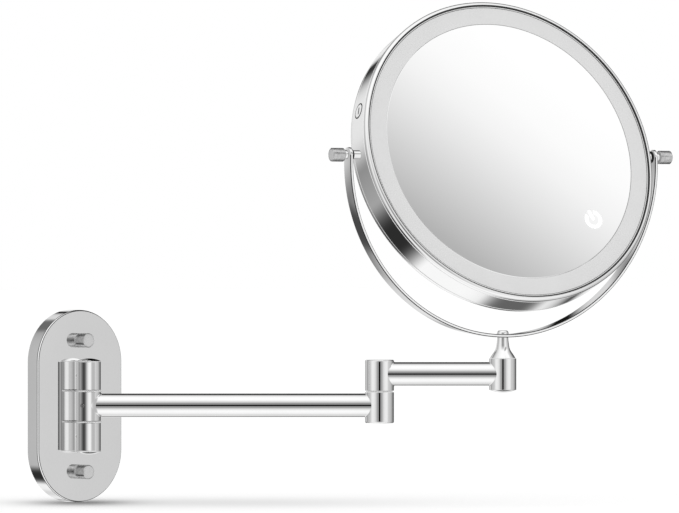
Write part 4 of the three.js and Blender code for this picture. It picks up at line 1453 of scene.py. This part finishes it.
def halo_film():
    low = glass_high + FILM / 4
    high = low + FILM / 4
    film = spun([(0, low), (HALO_RADIUS, low), (HALO_RADIUS, high), (0, high)], steps=SMALL_STEPS)
    shift(film, (mark_centre.x, mark_centre.y, 0))
    return film


halo = put(halo_film(), "mark_halo", head, "mirror_head", "diffuser")
halo.data.materials[0] = halo_material()
lit_mark = finish("lit_mark", 0, tone(0.9), tone(0.95), 0.4, 0.5)
lit_surface = lit_mark.node_tree.nodes["surface"]
lit_surface.inputs["Emission Color"].default_value = (1, 1, 1, 1)
lit_surface.inputs["Emission Strength"].default_value = 1.0
mark = put(power_mark(), "power_mark", head, "mirror_head", "diffuser")
mark.data.materials[0] = lit_mark

# %% [markdown]
# ## Finishes on the CAD parts that stay
#
# What is inside, or seen only from behind, keeps its CAD shape and gets its real finish.

# %% Finishes on the CAD nodes
STAYING = {
    "zinc_steel": [
        "wall_bracket", "bracket_stud_upper", "bracket_stud_lower", "knuckle_screw_upper",
        "knuckle_screw_lower"],
    "satin_steel": [
        "hinge_pin", "elbow_bolt", "elbow_spring_washer", "elbow_nut", "swivel_washer", "swivel_nut",
        "pivot_boss_right", "pivot_boss_left"],
    "circuit_board": ["led_board", "control_board"],
    "white_plastic": ["inner_tray"],
    "battery_foil": ["battery_pack"],
    "black_plastic": ["touch_sensor", "charge_port"],
}
for slot_name, nodes in STAYING.items():
    for node in nodes:
        materials = frame["nodes"][node].data.materials
        materials.clear()
        materials.append(finishes[slot_name])
hidden = [name for name, node in frame["nodes"].items() if node.hide_render]
print(len(hidden), "CAD nodes stood for,", sum(map(len, STAYING.values())), "kept")

# %% [markdown]
# ## Who is seen in whom
#
# In so much chrome every piece would show in every other, and the view would get busy. Here only the hinge
# and the nuts are seen in the polished plate behind them, and the rest reflects nothing but the studio.

# %% Keep the other pieces out of reflections
SEEN_IN_PLATE = ("thumb", "knuckle", "hinge", "set")

unseen = [piece for name, piece in made_pieces.items() if not name.startswith(SEEN_IN_PLATE)]
for piece in unseen + list(frame["nodes"].values()):
    piece.visible_glossy = False
print(len(unseen), "of", len(made_pieces), "pieces kept out of reflections")
